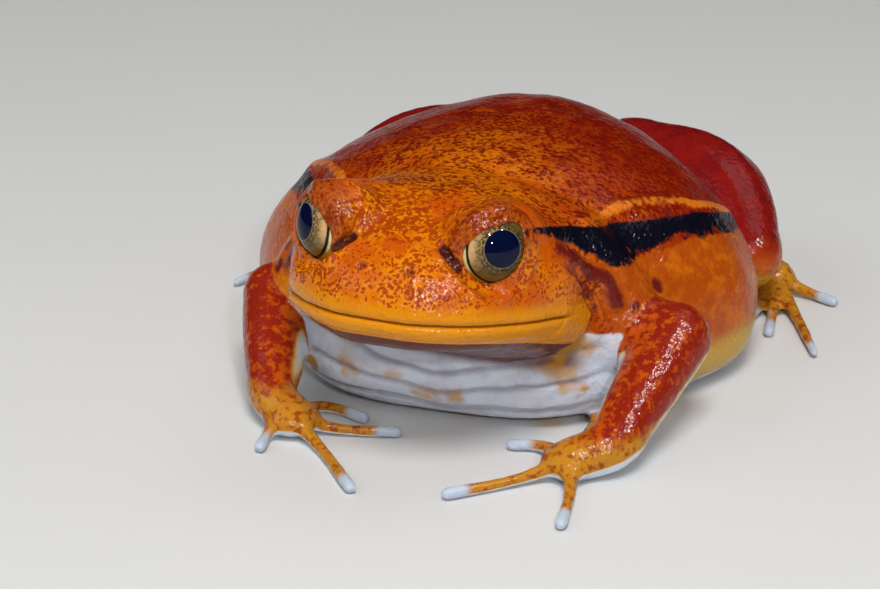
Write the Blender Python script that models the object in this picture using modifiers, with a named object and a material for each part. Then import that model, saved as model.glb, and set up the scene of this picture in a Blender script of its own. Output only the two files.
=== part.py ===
"""A tomato frog at rest, life size: head, torso, eyes and the lengths of its four limbs.

Metres, +Z up, though the tables of sizes below are in millimetres. The frog faces -Y, its
left side is at +X, and it rests on the plane z = 0. Head and torso are modelled whole and
parted by a thin cut. Each limb is fused from tubes and muscle forms, parted at its joints
by thin cuts, and trimmed where it meets what it grows from.
"""

import math
from collections import namedtuple

import bmesh
import bpy
from mathutils import Matrix, Vector
from mathutils.bvhtree import BVHTree

MM = 0.001
GAP = 0.3
WELD = 1e-6
FLOOR_DEPTH = 20.0
FLOOR_WIDTH = 300.0

# Head: each row is y, half width, top, bottom and the height of the widest line.
HEAD_ROWS = (
    (-45.6, 0.0, 19.8, 19.8, 19.8),
    (-45.0, 4.8, 22.4, 16.6, 19.6),
    (-43.4, 8.3, 24.4, 15.7, 19.3),
    (-41.0, 11.2, 26.0, 15.0, 18.9),
    (-38.0, 13.6, 27.3, 14.1, 18.4),
    (-34.0, 15.7, 28.5, 12.4, 17.8),
    (-30.0, 17.1, 29.1, 10.0, 17.0),
    (-26.0, 17.8, 29.2, 8.8, 16.0),
    (-20.0, 17.4, 28.6, 8.4, 15.0),
    (-12.0, 0.0, 18.0, 18.0, 18.0),
)
HEAD_ROOF = 2.5
HEAD_JAW = 3.0
HEAD_TURN = math.radians(-3.6)
NECK_Y = -20.0

EYE_CENTRE = Vector((9.3, -35.4, 26.2))
EYE_AXIS = Vector((0.62, -0.735, 0.27)).normalized()
EYE_RADIUS = 4.4
EYE_OPENING = 3.7
SOCKET_DEPTH = 12.0
SOCKET_FLARE = 1.5
LID = 0.95
LID_REACH = 0.5
BROW = 0.7
TEMPLE = ((8.7, -30.4, 25.2), (5.3, 6.2, 4.6))

MOUTH_FRONT = 19.6
MOUTH_CORNER = 16.5
MOUTH_CENTRE_Y = -30.2
MOUTH_SPAN = math.radians(95)
MOUTH_GROOVE = 0.42
LIP_RADIUS = 1.15
LIP_SINK = 0.75
UPPER_LIP = 1.15
LOWER_LIP = -1.3
MOUTH_STEPS = 14
MOUTH_REACH = 60.0

NOSTRIL = Vector((2.85, -42.6, 24.7))
NOSTRIL_RADIUS = 0.5

# Torso: rows as for the head.
TORSO_ROWS = (
    (-30.2, 0.0, 7.8, 7.8, 7.8),
    (-29.3, 9.0, 11.5, 3.8, 7.4),
    (-27.2, 15.2, 17.0, 1.2, 7.7),
    (-23.2, 19.6, 24.0, -0.1, 8.2),
    (-18.0, 23.8, 28.0, -0.9, 8.4),
    (-10.0, 29.4, 29.0, -1.6, 8.4),
    (-2.0, 32.3, 29.1, -2.0, 8.3),
    (5.0, 31.6, 29.0, -2.0, 8.2),
    (12.0, 26.9, 28.6, -1.6, 8.4),
    (20.0, 19.8, 26.2, -0.8, 8.8),
    (29.0, 13.4, 21.2, 0.6, 9.4),
    (37.0, 8.2, 16.0, 3.0, 9.6),
    (41.5, 0.0, 9.6, 9.6, 9.6),
)
TORSO_BACK = 1.9
TORSO_BELLY = 3.6
NAPE = ((0.0, -20.0, 16.6), (21.5, 10.5, 11.6))
SHOULDER = ((16.6, -19.0, 12.6), (7.2, 6.6, 8.2))
BACK_FOLD = (
    (17.4, -21.0, 23.0, 0.9),
    (20.6, -15.0, 22.6, 1.6),
    (23.6, -8.0, 21.2, 1.8),
    (26.0, 0.0, 19.6, 1.7),
    (27.4, 9.0, 15.4, 0.9),
)
FOLD_SINK = 0.75

# The neck cut runs from above the shoulders down and forward into the fold of the throat.
NECK_CUT = (
    (-19.0, 36.0),
    (-20.5, 26.0),
    (-24.5, 15.5),
    (-29.5, 10.4),
    (-34.0, 8.6),
    (-50.0, 5.0),
)
NECK_CUT_WIDTH = 60.0
TORSO_MIDDLE = (0.0, 5.0, 12.0)
HEAD_MIDDLE = (0.0, -32.0, 20.0)

Arm = namedtuple("Arm", "side shoulder elbow wrist palm digits")
ARMS = (
    Arm(
        side=1,
        shoulder=(15.0, -18.5, 10.5, 6.2),
        elbow=(26.4, -20.5, 11.2, 4.4),
        wrist=(22.8, -35.0, 3.7, 3.1),
        palm=(18.6, -37.6, 2.1, 2.6),
        digits=(
            ((18.2, -27.6), (18.1, -20.9)),
            ((13.7, -32.6), (10.4, -32.8)),
            ((13.9, -41.6), (7.1, -47.3)),
            ((20.2, -43.8), (21.0, -50.4)),
        ),
    ),
    Arm(
        side=-1,
        shoulder=(15.0, -18.5, 10.5, 6.2),
        elbow=(23.3, -20.5, 10.6, 4.1),
        wrist=(18.6, -33.8, 3.4, 2.9),
        palm=(15.4, -36.2, 2.1, 2.6),
        digits=(
            ((13.9, -30.1), (8.2, -31.2)),
            ((10.5, -35.4), (3.4, -33.6)),
            ((10.7, -40.3), (3.5, -49.2)),
            ((17.2, -38.7), (17.0, -42.4)),
        ),
    ),
)
UPPER_ARM = 5.2
FOREARM_TOP = 4.1
FOREARM_LOW = 3.5
ELBOW_CUT = 9.0
WRIST_CUT = 5.0
PALM = (3.4, 3.4, 1.9)
FINGER_ROOT = 1.1
FINGER_RADIUS = 0.74
FINGER_TIP = 0.8

# Hind leg of the left side, mirrored for the right: x, y, z and radius.
HIP = (9.0, 32.0, 13.0, 7.4)
THIGH_MIDDLE = (20.4, 26.8, 13.0, 7.3)
THIGH_LOW = (25.6, 21.0, 11.5, 5.5)
KNEE = (28.4, 15.6, 8.9, 4.4)
SHANK_TOP = (27.8, 18.0, 7.2, 4.0)
SHANK_MIDDLE = (25.8, 27.2, 6.6, 4.4)
HEEL = (16.0, 38.0, 4.6, 2.9)
TARSUS = (24.0, 32.5, 2.7, 2.4)
FOOT = (30.2, 26.0, 2.1, 2.5)
SOLE = (2.8, 3.2, 1.8)
TOES = (
    ((28.0, 21.0), (27.0, 17.0)),
    ((29.4, 19.0), (29.2, 14.0)),
    ((31.6, 17.0), (32.4, 10.0)),
    ((35.0, 15.5), (39.2, 4.8)),
    ((35.0, 24.6), (38.6, 23.0)),
)
TOE_ROOT = 1.2
TOE_RADIUS = 0.76
TOE_TIP = 0.8
DIGIT_ARCH = 0.25
TIP_SINK = 0.06

BODY_VOXEL = 0.55
LIMB_VOXEL = 0.45
DIGIT_VOXEL = 0.34
BODY_FACES = 4000
ARM_FACES = 1760
THIGH_FACES = 560
SHANK_FACES = 440
FOOT_FACES = 1160
BODY_ROUNDS = 7
LEG_ROUNDS = 4
DIGIT_ROUNDS = 2
EYE_ROUNDS = 12
DISC_SIDES = 24
SHARP = math.radians(40)

# Finishes: a colour and a roughness.
MOIST_ORANGE = ((0.80, 0.22, 0.03), 0.35)
LIMB_RED = ((0.55, 0.07, 0.02), 0.3)
DIGIT_YELLOW = ((0.75, 0.40, 0.10), 0.35)
EYE_NAVY = ((0.01, 0.015, 0.04), 0.05)


def collection(name):
    """Makes a collection in the scene."""
    made = bpy.data.collections.new(name)
    bpy.context.scene.collection.children.link(made)
    return made


def work_object(name, mesh, drawer):
    """Makes an object from a mesh and puts it in a collection."""
    made = bpy.data.objects.new(name, mesh)
    drawer.objects.link(made)
    return made


def as_mesh(name, build):
    """Writes a bmesh out as a mesh and frees it."""
    mesh = bpy.data.meshes.new(name)
    build.to_mesh(mesh)
    build.free()
    return mesh


def settled_mesh(thing):
    """Returns an object's mesh with its modifiers or curve bevel made real."""
    graph = bpy.context.evaluated_depsgraph_get()
    return bpy.data.meshes.new_from_object(thing.evaluated_get(graph))


def remove(thing):
    """Takes an object out of the file."""
    bpy.data.objects.remove(thing, do_unlink=True)


def steady_curve(xs, ys, x):
    """Reads ys at x by a cubic that never overshoots the rows it passes through."""
    if x <= xs[0]:
        return ys[0]
    if x >= xs[-1]:
        return ys[-1]
    slopes = [(b - a) / (q - p) for a, b, p, q in zip(ys, ys[1:], xs, xs[1:])]
    ends = [slopes[0]]
    for before, after in zip(slopes, slopes[1:]):
        same_way = before * after > 0
        ends.append(2 * before * after / (before + after) if same_way else 0.0)
    ends.append(slopes[-1])
    i = max(k for k in range(len(xs) - 1) if xs[k] <= x)
    width = xs[i + 1] - xs[i]
    t = (x - xs[i]) / width
    return (
        ys[i] * (2 * t**3 - 3 * t**2 + 1)
        + ys[i + 1] * (3 * t**2 - 2 * t**3)
        + ends[i] * width * (t**3 - 2 * t**2 + t)
        + ends[i + 1] * width * (t**3 - t**2)
    )


def body_form(rows, top_power, bottom_power, rings=72, around=96):
    """A closed form with a rounded section at each y, read from the rows between its two poles.

    Widths and heights are read as squares, so that both ends come out round.
    """
    ys = [row[0] for row in rows]
    halves = [row[1] ** 2 for row in rows]
    rises = [(row[2] - row[4]) ** 2 for row in rows]
    drops = [(row[4] - row[3]) ** 2 for row in rows]
    middles = [row[4] for row in rows]
    body = bmesh.new()
    loops = []
    for ring in range(1, rings):
        y = ys[0] + (ys[-1] - ys[0]) * (1 - math.cos(math.pi * ring / rings)) / 2
        half = math.sqrt(steady_curve(ys, halves, y))
        rise = math.sqrt(steady_curve(ys, rises, y))
        drop = math.sqrt(steady_curve(ys, drops, y))
        middle = steady_curve(ys, middles, y)
        loop = []
        for step in range(around):
            angle = 2 * math.pi * step / around
            side, up = math.sin(angle), math.cos(angle)
            power = 2 / (top_power if up > 0 else bottom_power)
            x = half * math.copysign(abs(side) ** power, side)
            z = middle + (rise if up > 0 else -drop) * abs(up) ** power
            loop.append(body.verts.new(Vector((x, y, z)) * MM))
        loops.append(loop)
    for near, far in zip(loops, loops[1:]):
        for a, b, c, d in zip(near, near[1:] + near[:1], far[1:] + far[:1], far):
            body.faces.new((a, b, c, d))
    for loop, row in ((loops[0], rows[0]), (loops[-1], rows[-1])):
        pole = body.verts.new(Vector((0.0, row[0], row[4])) * MM)
        for a, b in zip(loop, loop[1:] + loop[:1]):
            body.faces.new((a, b, pole))
    bmesh.ops.recalc_face_normals(body, faces=body.faces)
    return as_mesh("body_form", body)


def ellipsoid(centre, radii, turn=Matrix(), rounds=16):
    """A closed ellipsoid with its radii along the axes of turn."""
    ball = bmesh.new()
    place = Matrix.Translation(Vector(centre) * MM) @ turn @ Matrix.Diagonal((*(Vector(radii) * MM), 1.0))
    bmesh.ops.create_uvsphere(ball, u_segments=2 * rounds, v_segments=rounds, radius=1.0, matrix=place)
    return as_mesh("ellipsoid", ball)


def tube(stations, drawer, closed=False, domed=True, detail=8, sides=3):
    """A round tube along a smooth path: each station is x, y, z and radius."""
    path = bpy.data.curves.new("tube", "CURVE")
    path.dimensions = "3D"
    path.bevel_depth = MM
    path.bevel_resolution = sides
    path.resolution_u = detail
    path.use_fill_caps = True
    line = path.splines.new("BEZIER")
    line.bezier_points.add(len(stations) - 1)
    line.radius_interpolation = "CARDINAL"
    line.use_cyclic_u = closed
    for point, (x, y, z, radius) in zip(line.bezier_points, stations):
        point.co = Vector((x, y, z)) * MM
        point.handle_left_type = point.handle_right_type = "AUTO"
        point.radius = radius
    made = work_object("tube", path, drawer)
    pieces = [settled_mesh(made)]
    remove(made)
    if domed and not closed:
        pieces += [ellipsoid(end[:3], (end[3],) * 3) for end in (stations[0], stations[-1])]
    return joined(pieces)


def joined(meshes):
    """Puts closed meshes together in one mesh, with loose caps welded."""
    whole = bmesh.new()
    for mesh in meshes:
        whole.from_mesh(mesh)
    bmesh.ops.remove_doubles(whole, verts=whole.verts, dist=WELD)
    return as_mesh("joined", whole)


def moved(mesh, place):
    """Moves a mesh by a matrix and returns it."""
    mesh.transform(place)
    return mesh


def mirrored(mesh):
    """A copy of a mesh on the other side of the plane x = 0."""
    other = bmesh.new()
    other.from_mesh(mesh)
    bmesh.ops.scale(other, vec=(-1, 1, 1), verts=other.verts)
    bmesh.ops.reverse_faces(other, faces=other.faces)
    return as_mesh("mirrored", other)


def fused(meshes, voxel, faces, rounds, drawer):
    """Melts forms into one skin: even voxels, a few rounds of smoothing, then fewer faces."""
    form = work_object("fused", joined(meshes), drawer)
    remesh = form.modifiers.new("remesh", "REMESH")
    remesh.mode = "VOXEL"
    remesh.voxel_size = voxel * MM
    smooth = form.modifiers.new("smooth", "SMOOTH")
    smooth.factor = 0.5
    smooth.iterations = rounds
    skin = settled_mesh(form)
    form.modifiers.clear()
    form.data = largest(skin)
    thin = form.modifiers.new("thin", "DECIMATE")
    thin.ratio = min(1.0, faces / (2 * len(form.data.polygons)))
    result = settled_mesh(form)
    remove(form)
    return result


def loose_pieces(mesh):
    """Splits a mesh into its closed surfaces, the largest first."""
    source = bmesh.new()
    source.from_mesh(mesh)
    left = set(source.verts)
    groups = []
    while left:
        stack = [left.pop()]
        group = []
        while stack:
            vert = stack.pop()
            group.append(vert)
            for edge in vert.link_edges:
                other = edge.other_vert(vert)
                if other in left:
                    left.remove(other)
                    stack.append(other)
        groups.append({vert.index for vert in group})
    source.free()
    pieces = []
    for group in groups:
        piece = bmesh.new()
        piece.from_mesh(mesh)
        drop = [vert for vert in piece.verts if vert.index not in group]
        bmesh.ops.delete(piece, geom=drop, context="VERTS")
        pieces.append((abs(piece.calc_volume()), as_mesh("piece", piece)))
    return [mesh for volume, mesh in sorted(pieces, key=lambda pair: -pair[0])]


def largest(mesh):
    """The largest closed surface of a mesh."""
    return loose_pieces(mesh)[0]


def middle(mesh):
    """The mean of a mesh's corners."""
    return sum((vert.co for vert in mesh.vertices), Vector()) / len(mesh.vertices)


def nearest(pieces, point):
    """The piece whose middle lies nearest a point in millimetres."""
    return min(pieces, key=lambda piece: (middle(piece) - Vector(point) * MM).length)


def without(mesh, cutters, drawer, solver="EXACT"):
    """Cuts closed cutters out of a mesh."""
    body = work_object("cut", mesh, drawer)
    tools = []
    for cutter in cutters:
        tool = work_object("cutter", cutter, drawer)
        tool.hide_render = True
        tool.display_type = "WIRE"
        tools.append(tool)
        modifier = body.modifiers.new("cut", "BOOLEAN")
        modifier.operation = "DIFFERENCE"
        modifier.solver = solver
        modifier.object = tool
    result = settled_mesh(body)
    for thing in (body, *tools):
        remove(thing)
    return result


def grown(mesh, by=GAP):
    """A copy of a mesh with its surface moved out."""
    wider = bmesh.new()
    wider.from_mesh(mesh)
    wider.normal_update()
    shifts = [vert.normal * vert.calc_shell_factor() * by * MM for vert in wider.verts]
    for vert, shift in zip(wider.verts, shifts):
        vert.co += shift
    return as_mesh("grown", wider)


def floor_slab():
    """The block below the plane that the frog rests on."""
    slab = bmesh.new()
    bmesh.ops.create_cube(slab, size=1.0)
    size = Vector((FLOOR_WIDTH, FLOOR_WIDTH, FLOOR_DEPTH)) * MM
    bmesh.ops.scale(slab, vec=size, verts=slab.verts)
    bmesh.ops.translate(slab, vec=(0, 0, -FLOOR_DEPTH * MM / 2), verts=slab.verts)
    return as_mesh("floor", slab)


def joint_disc(centre, along, radius):
    """A thin disc across a limb, which parts it at a joint."""
    disc = bmesh.new()
    turn = Vector(along).to_track_quat("Z", "Y").to_matrix().to_4x4()
    place = Matrix.Translation(Vector(centre) * MM) @ turn
    bmesh.ops.create_cone(
        disc,
        cap_ends=True,
        segments=DISC_SIDES,
        radius1=radius * MM,
        radius2=radius * MM,
        depth=GAP * MM,
        matrix=place,
    )
    return as_mesh("disc", disc)


def neck_blade(drawer):
    """A thin curved sheet across the neck, its side profile in NECK_CUT."""
    sheet = bmesh.new()
    corners = [
        sheet.verts.new(Vector((-NECK_CUT_WIDTH / 2, y, z)) * MM) for y, z in NECK_CUT
    ]
    edges = [sheet.edges.new(pair) for pair in zip(corners, corners[1:])]
    swept = bmesh.ops.extrude_edge_only(sheet, edges=edges)["geom"]
    ends = [item for item in swept if isinstance(item, bmesh.types.BMVert)]
    bmesh.ops.translate(sheet, vec=(NECK_CUT_WIDTH * MM, 0, 0), verts=ends)
    blade = work_object("blade", as_mesh("blade", sheet), drawer)
    thick = blade.modifiers.new("thick", "SOLIDIFY")
    thick.thickness = GAP * MM
    thick.offset = 0.0
    result = settled_mesh(blade)
    remove(blade)
    return result


def head_place():
    """The small turn of the head about the neck."""
    pivot = Vector((0.0, NECK_Y, 0.0)) * MM
    return Matrix.Translation(pivot) @ Matrix.Rotation(HEAD_TURN, 4, "Z") @ Matrix.Translation(-pivot)


def surface_tree(mesh):
    """A search tree of a mesh's faces."""
    corners = [vert.co for vert in mesh.vertices]
    return BVHTree.FromPolygons(corners, [tuple(face.vertices) for face in mesh.polygons])


def laid_on(mesh, stations, sink):
    """Moves each station of a tube onto a surface, sunk by a share of its radius."""
    tree = surface_tree(mesh)
    laid = []
    for x, y, z, radius in stations:
        hit, normal, index, distance = tree.find_nearest(Vector((x, y, z)) * MM)
        laid.append((*(hit / MM - normal * sink * radius), radius))
    return laid


def mouth_path(head, lift, sink):
    """Stations along the mouth on the surface of the head, in millimetres.

    lift moves the line up, and sink moves it under the surface.
    """
    tree = surface_tree(head)
    stations = []
    for step in range(-MOUTH_STEPS, MOUTH_STEPS + 1):
        share = step / MOUTH_STEPS
        angle = share * MOUTH_SPAN
        height = MOUTH_FRONT + (MOUTH_CORNER - MOUTH_FRONT) * share * share + lift * (1 - share**4)
        start = Vector((0.0, MOUTH_CENTRE_Y, height)) * MM
        outward = Vector((math.sin(angle), -math.cos(angle), 0.0))
        reach = outward * MOUTH_REACH * MM
        hit, normal, index, distance = tree.ray_cast(start + reach, -outward)
        stations.append((hit - normal * sink * MM) / MM)
    return stations


def tapered(stations, radius):
    """Gives stations a radius that falls away toward both ends."""
    last = len(stations) - 1
    share = [abs(2 * i / last - 1) for i in range(last + 1)]
    return [(*point, radius * (1 - 0.75 * s**6)) for point, s in zip(stations, share)]


def circle(centre, axis, radius, thickness, count=12):
    """Stations round a circle about an axis."""
    across = axis.orthogonal().normalized()
    other = axis.cross(across)
    stations = []
    for step in range(count):
        angle = 2 * math.pi * step / count
        point = centre + (across * math.cos(angle) + other * math.sin(angle)) * radius
        stations.append((*point, thickness))
    return stations


def build_head_and_torso(drawer):
    """The fused head and torso, with lips, lids and the fold along each flank, and the floor off."""
    head = body_form(HEAD_ROWS, HEAD_ROOF, HEAD_JAW)
    forms = [head]
    for lift in (UPPER_LIP, LOWER_LIP):
        forms.append(tube(tapered(mouth_path(head, lift, LIP_SINK), LIP_RADIUS), drawer))
    rim_depth = math.sqrt(EYE_RADIUS**2 - EYE_OPENING**2)
    rim = circle(EYE_CENTRE + EYE_AXIS * rim_depth, EYE_AXIS, EYE_OPENING + LID_REACH, LID)
    mound = joined(
        [
            ellipsoid(EYE_CENTRE - EYE_AXIS * BROW, (EYE_RADIUS + LID,) * 3),
            ellipsoid(*TEMPLE),
            tube(rim, drawer, closed=True),
        ]
    )
    forms += [mound, mirrored(mound)]
    torso = body_form(TORSO_ROWS, TORSO_BACK, TORSO_BELLY)
    fold = laid_on(torso, BACK_FOLD, FOLD_SINK)
    sides = [tube(fold, drawer), ellipsoid(*SHOULDER)]
    placed = [moved(form, head_place()) for form in forms]
    rest = [torso, ellipsoid(*NAPE), *sides, *(mirrored(form) for form in sides)]
    body = fused([*placed, *rest], BODY_VOXEL, BODY_FACES, BODY_ROUNDS, drawer)
    return without(body, [floor_slab()], drawer)


def cut_face(body, drawer):
    """Cuts the eye sockets, the line of the mouth and the nostrils."""
    cutters = []
    back = head_place().inverted()
    straight = moved(body.copy(), back)
    for side in (1, -1):
        flip = Matrix.Diagonal((side, 1, 1, 1))
        centre = (flip @ EYE_CENTRE.to_4d()).to_3d()
        axis = (flip @ EYE_AXIS.to_4d()).to_3d()
        cutters.append(ellipsoid(centre, (EYE_RADIUS + GAP,) * 3, rounds=EYE_ROUNDS))
        opening = bmesh.new()
        turn = axis.to_track_quat("Z", "Y").to_matrix().to_4x4()
        place = Matrix.Translation((centre + axis * SOCKET_DEPTH / 2) * MM) @ turn
        bmesh.ops.create_cone(
            opening,
            cap_ends=True,
            segments=DISC_SIDES,
            radius1=EYE_OPENING * MM,
            radius2=(EYE_OPENING + SOCKET_FLARE) * MM,
            depth=SOCKET_DEPTH * MM,
            matrix=place,
        )
        cutters.append(as_mesh("opening", opening))
        nostril = (flip @ NOSTRIL.to_4d()).to_3d()
        cutters.append(ellipsoid(nostril, (NOSTRIL_RADIUS,) * 3, rounds=5))
    line = tapered(mouth_path(straight, 0.0, 0.0), MOUTH_GROOVE)
    cutters.append(tube(line, drawer, domed=False, detail=1, sides=1))
    placed = [moved(cutter, head_place()) for cutter in cutters]
    return largest(without(body, placed, drawer))


def digit(root, middle_point, tip, root_radius, radius, tip_radius, drawer):
    """A finger or toe from its root in the palm or sole to a rounded tip on the floor."""
    stations = (
        (*root[:3], root_radius),
        (*middle_point, radius + DIGIT_ARCH, radius),
        (*tip, tip_radius - TIP_SINK, tip_radius),
    )
    return tube(stations, drawer)


def build_arm(arm, body, drawer):
    """Upper arm, forearm and hand of one side."""
    shoulder, elbow, wrist, palm = (Vector(point[:3]) for point in arm[1:5])
    upper = tube(
        (arm.shoulder, (*shoulder.lerp(elbow, 0.5), UPPER_ARM), arm.elbow),
        drawer,
    )
    fore = tube(
        (
            arm.elbow,
            (*elbow.lerp(wrist, 0.35), FOREARM_TOP),
            (*elbow.lerp(wrist, 0.75), FOREARM_LOW),
            arm.wrist,
            arm.palm,
        ),
        drawer,
    )
    hand = [ellipsoid(palm, PALM)]
    for middle_point, tip in arm.digits:
        hand.append(
            digit(palm, middle_point, tip, FINGER_ROOT, FINGER_RADIUS, FINGER_TIP, drawer)
        )
    whole = fused([upper, fore, *hand], DIGIT_VOXEL, ARM_FACES, DIGIT_ROUNDS, drawer)
    whole = moved(whole, Matrix.Diagonal((arm.side, 1, 1, 1)))
    if arm.side < 0:
        whole.flip_normals()
    flip = Matrix.Diagonal((arm.side, 1, 1))
    bend = (elbow - shoulder).normalized() + (wrist - elbow).normalized()
    cutters = [
        joint_disc(flip @ elbow, flip @ bend, ELBOW_CUT),
        joint_disc(flip @ wrist, flip @ (palm - elbow), WRIST_CUT),
        grown(body),
        floor_slab(),
    ]
    pieces = loose_pieces(without(whole, cutters, drawer))
    targets = (shoulder.lerp(elbow, 0.75), elbow.lerp(wrist, 0.5), palm)
    return [nearest(pieces[:6], flip @ target) for target in targets]


def build_leg(side, body, drawer):
    """Thigh, shank and foot of one side."""
    flip = Matrix.Diagonal((side, 1, 1, 1))

    def limb(meshes, voxel, faces, rounds):
        form = moved(fused(meshes, voxel, faces, rounds, drawer), flip)
        if side < 0:
            form.flip_normals()
        return form

    upper = [tube((HIP, THIGH_MIDDLE, THIGH_LOW, KNEE), drawer)]
    lower = [tube((SHANK_TOP, SHANK_MIDDLE, HEEL), drawer)]
    thigh = limb(upper, LIMB_VOXEL, THIGH_FACES, LEG_ROUNDS)
    shank = limb(lower, LIMB_VOXEL, SHANK_FACES, LEG_ROUNDS)
    forms = [tube((HEEL, TARSUS, FOOT), drawer), ellipsoid(FOOT[:3], SOLE)]
    for middle_point, tip in TOES:
        forms.append(digit(FOOT, middle_point, tip, TOE_ROOT, TOE_RADIUS, TOE_TIP, drawer))
    foot = limb(forms, DIGIT_VOXEL, FOOT_FACES, DIGIT_ROUNDS)
    floor = floor_slab()
    thigh = largest(without(thigh, [grown(body), floor], drawer))
    shank = largest(without(shank, [grown(body), grown(thigh), floor.copy()], drawer))
    keep_off = [grown(body), grown(thigh), grown(shank), floor.copy()]
    foot = largest(without(foot, keep_off, drawer))
    return thigh, shank, foot


def finish(name, mesh, look, drawer):
    """Makes a named part with its own material, from a colour and a roughness."""
    colour, roughness = look
    part = work_object(name, mesh, drawer)
    mesh.name = name
    mesh.materials.clear()
    material = bpy.data.materials.new(name)
    material.use_nodes = True
    shader = material.node_tree.nodes["Principled BSDF"]
    shader.inputs["Base Color"].default_value = (*colour, 1.0)
    shader.inputs["Roughness"].default_value = roughness
    shader.inputs["Metallic"].default_value = 0.0
    mesh.materials.append(material)
    mesh.shade_smooth()
    mesh.set_sharp_from_angle(angle=SHARP)
    return part


def centre_on_floor(parts):
    """Moves the parts so that the middle of their footprint is the origin."""
    corners = [vert.co for part in parts for vert in part.data.vertices]
    xs = [corner.x for corner in corners]
    ys = [corner.y for corner in corners]
    shift = Vector((-(min(xs) + max(xs)) / 2, -(min(ys) + max(ys)) / 2, 0.0))
    for part in parts:
        part.data.transform(Matrix.Translation(shift))


def main():
    """Builds the frog part by part."""
    for thing in list(bpy.data.objects):
        bpy.data.objects.remove(thing, do_unlink=True)
    parts = collection("tomato_frog")
    bench = collection("cutters")

    body = build_head_and_torso(bench)
    carved = cut_face(body, bench)
    halves = loose_pieces(without(carved, [neck_blade(bench)], bench))
    finish("torso", nearest(halves[:2], TORSO_MIDDLE), MOIST_ORANGE, parts)
    finish("head", nearest(halves[:2], HEAD_MIDDLE), MOIST_ORANGE, parts)
    for side, name in ((1, "left"), (-1, "right")):
        centre = Vector((side * EYE_CENTRE.x, EYE_CENTRE.y, EYE_CENTRE.z))
        eye = moved(ellipsoid(centre, (EYE_RADIUS,) * 3, rounds=EYE_ROUNDS), head_place())
        finish(f"eye_{name}", eye, EYE_NAVY, parts)
    for arm in ARMS:
        name = "left" if arm.side > 0 else "right"
        upper, fore, hand = build_arm(arm, body, bench)
        finish(f"upper_arm_{name}", upper, LIMB_RED, parts)
        finish(f"forearm_{name}", fore, LIMB_RED, parts)
        finish(f"hand_{name}", hand, DIGIT_YELLOW, parts)
    for side, name in ((1, "left"), (-1, "right")):
        thigh, shank, foot = build_leg(side, body, bench)
        finish(f"thigh_{name}", thigh, LIMB_RED, parts)
        finish(f"shank_{name}", shank, LIMB_RED, parts)
        finish(f"foot_{name}", foot, DIGIT_YELLOW, parts)
    centre_on_floor(parts.objects)


if __name__ == "__main__":
    main()
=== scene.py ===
"""The looks of a life-size tomato frog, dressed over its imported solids.

One skin is melted from the solids of flesh, sculpted with the folds of the face, throat and
flanks, and marked with the fields that its colours follow. The eyes are pieces of their own.

Sizes are in millimetres in the plan of the frog: it faces -Y, its left side is at +X, and the
floor is z = 0. The class Plan turns them into metres in the frame.
"""

import logging
import math
from dataclasses import dataclass, field
from enum import Enum

import bmesh
import bpy
import numpy as np
from mathutils import Matrix, Vector, noise
from mathutils.bvhtree import BVHTree


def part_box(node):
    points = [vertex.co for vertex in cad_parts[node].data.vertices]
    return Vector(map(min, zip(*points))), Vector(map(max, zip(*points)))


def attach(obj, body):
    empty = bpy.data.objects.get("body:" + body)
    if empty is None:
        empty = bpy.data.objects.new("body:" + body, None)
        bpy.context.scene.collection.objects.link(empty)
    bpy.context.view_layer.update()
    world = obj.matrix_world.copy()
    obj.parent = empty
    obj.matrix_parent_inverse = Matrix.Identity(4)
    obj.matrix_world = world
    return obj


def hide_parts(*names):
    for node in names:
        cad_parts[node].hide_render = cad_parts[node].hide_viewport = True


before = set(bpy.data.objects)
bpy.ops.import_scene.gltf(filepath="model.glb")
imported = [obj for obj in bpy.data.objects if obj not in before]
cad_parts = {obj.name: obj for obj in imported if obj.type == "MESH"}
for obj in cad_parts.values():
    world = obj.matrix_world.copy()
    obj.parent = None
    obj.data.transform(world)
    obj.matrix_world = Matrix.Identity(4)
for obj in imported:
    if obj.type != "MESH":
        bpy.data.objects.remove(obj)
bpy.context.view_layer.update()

MM = 0.001
LOG = logging.getLogger("tomato_frog")
Track = tuple[tuple[float, float, float], ...]
Colour = tuple[float, float, float]


class Side(Enum):
    """The two sides of the body, by the sign of x."""

    LEFT = 1
    RIGHT = -1

    @property
    def label(self) -> str:
        """The side's name as the nodes write it."""
        return self.name.lower()


class Region(Enum):
    """The parts of the skin that are smoothed and coloured apart, by their nodes' first words."""

    BODY = ("head", "torso")
    ARMS = ("upper_arm", "forearm", "hand")
    LEGS = ("thigh", "shank", "foot")

    def nodes(self) -> list[str]:
        """The names of the region's nodes in the frame."""
        return sorted(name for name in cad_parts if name.startswith(self.value))


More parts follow.
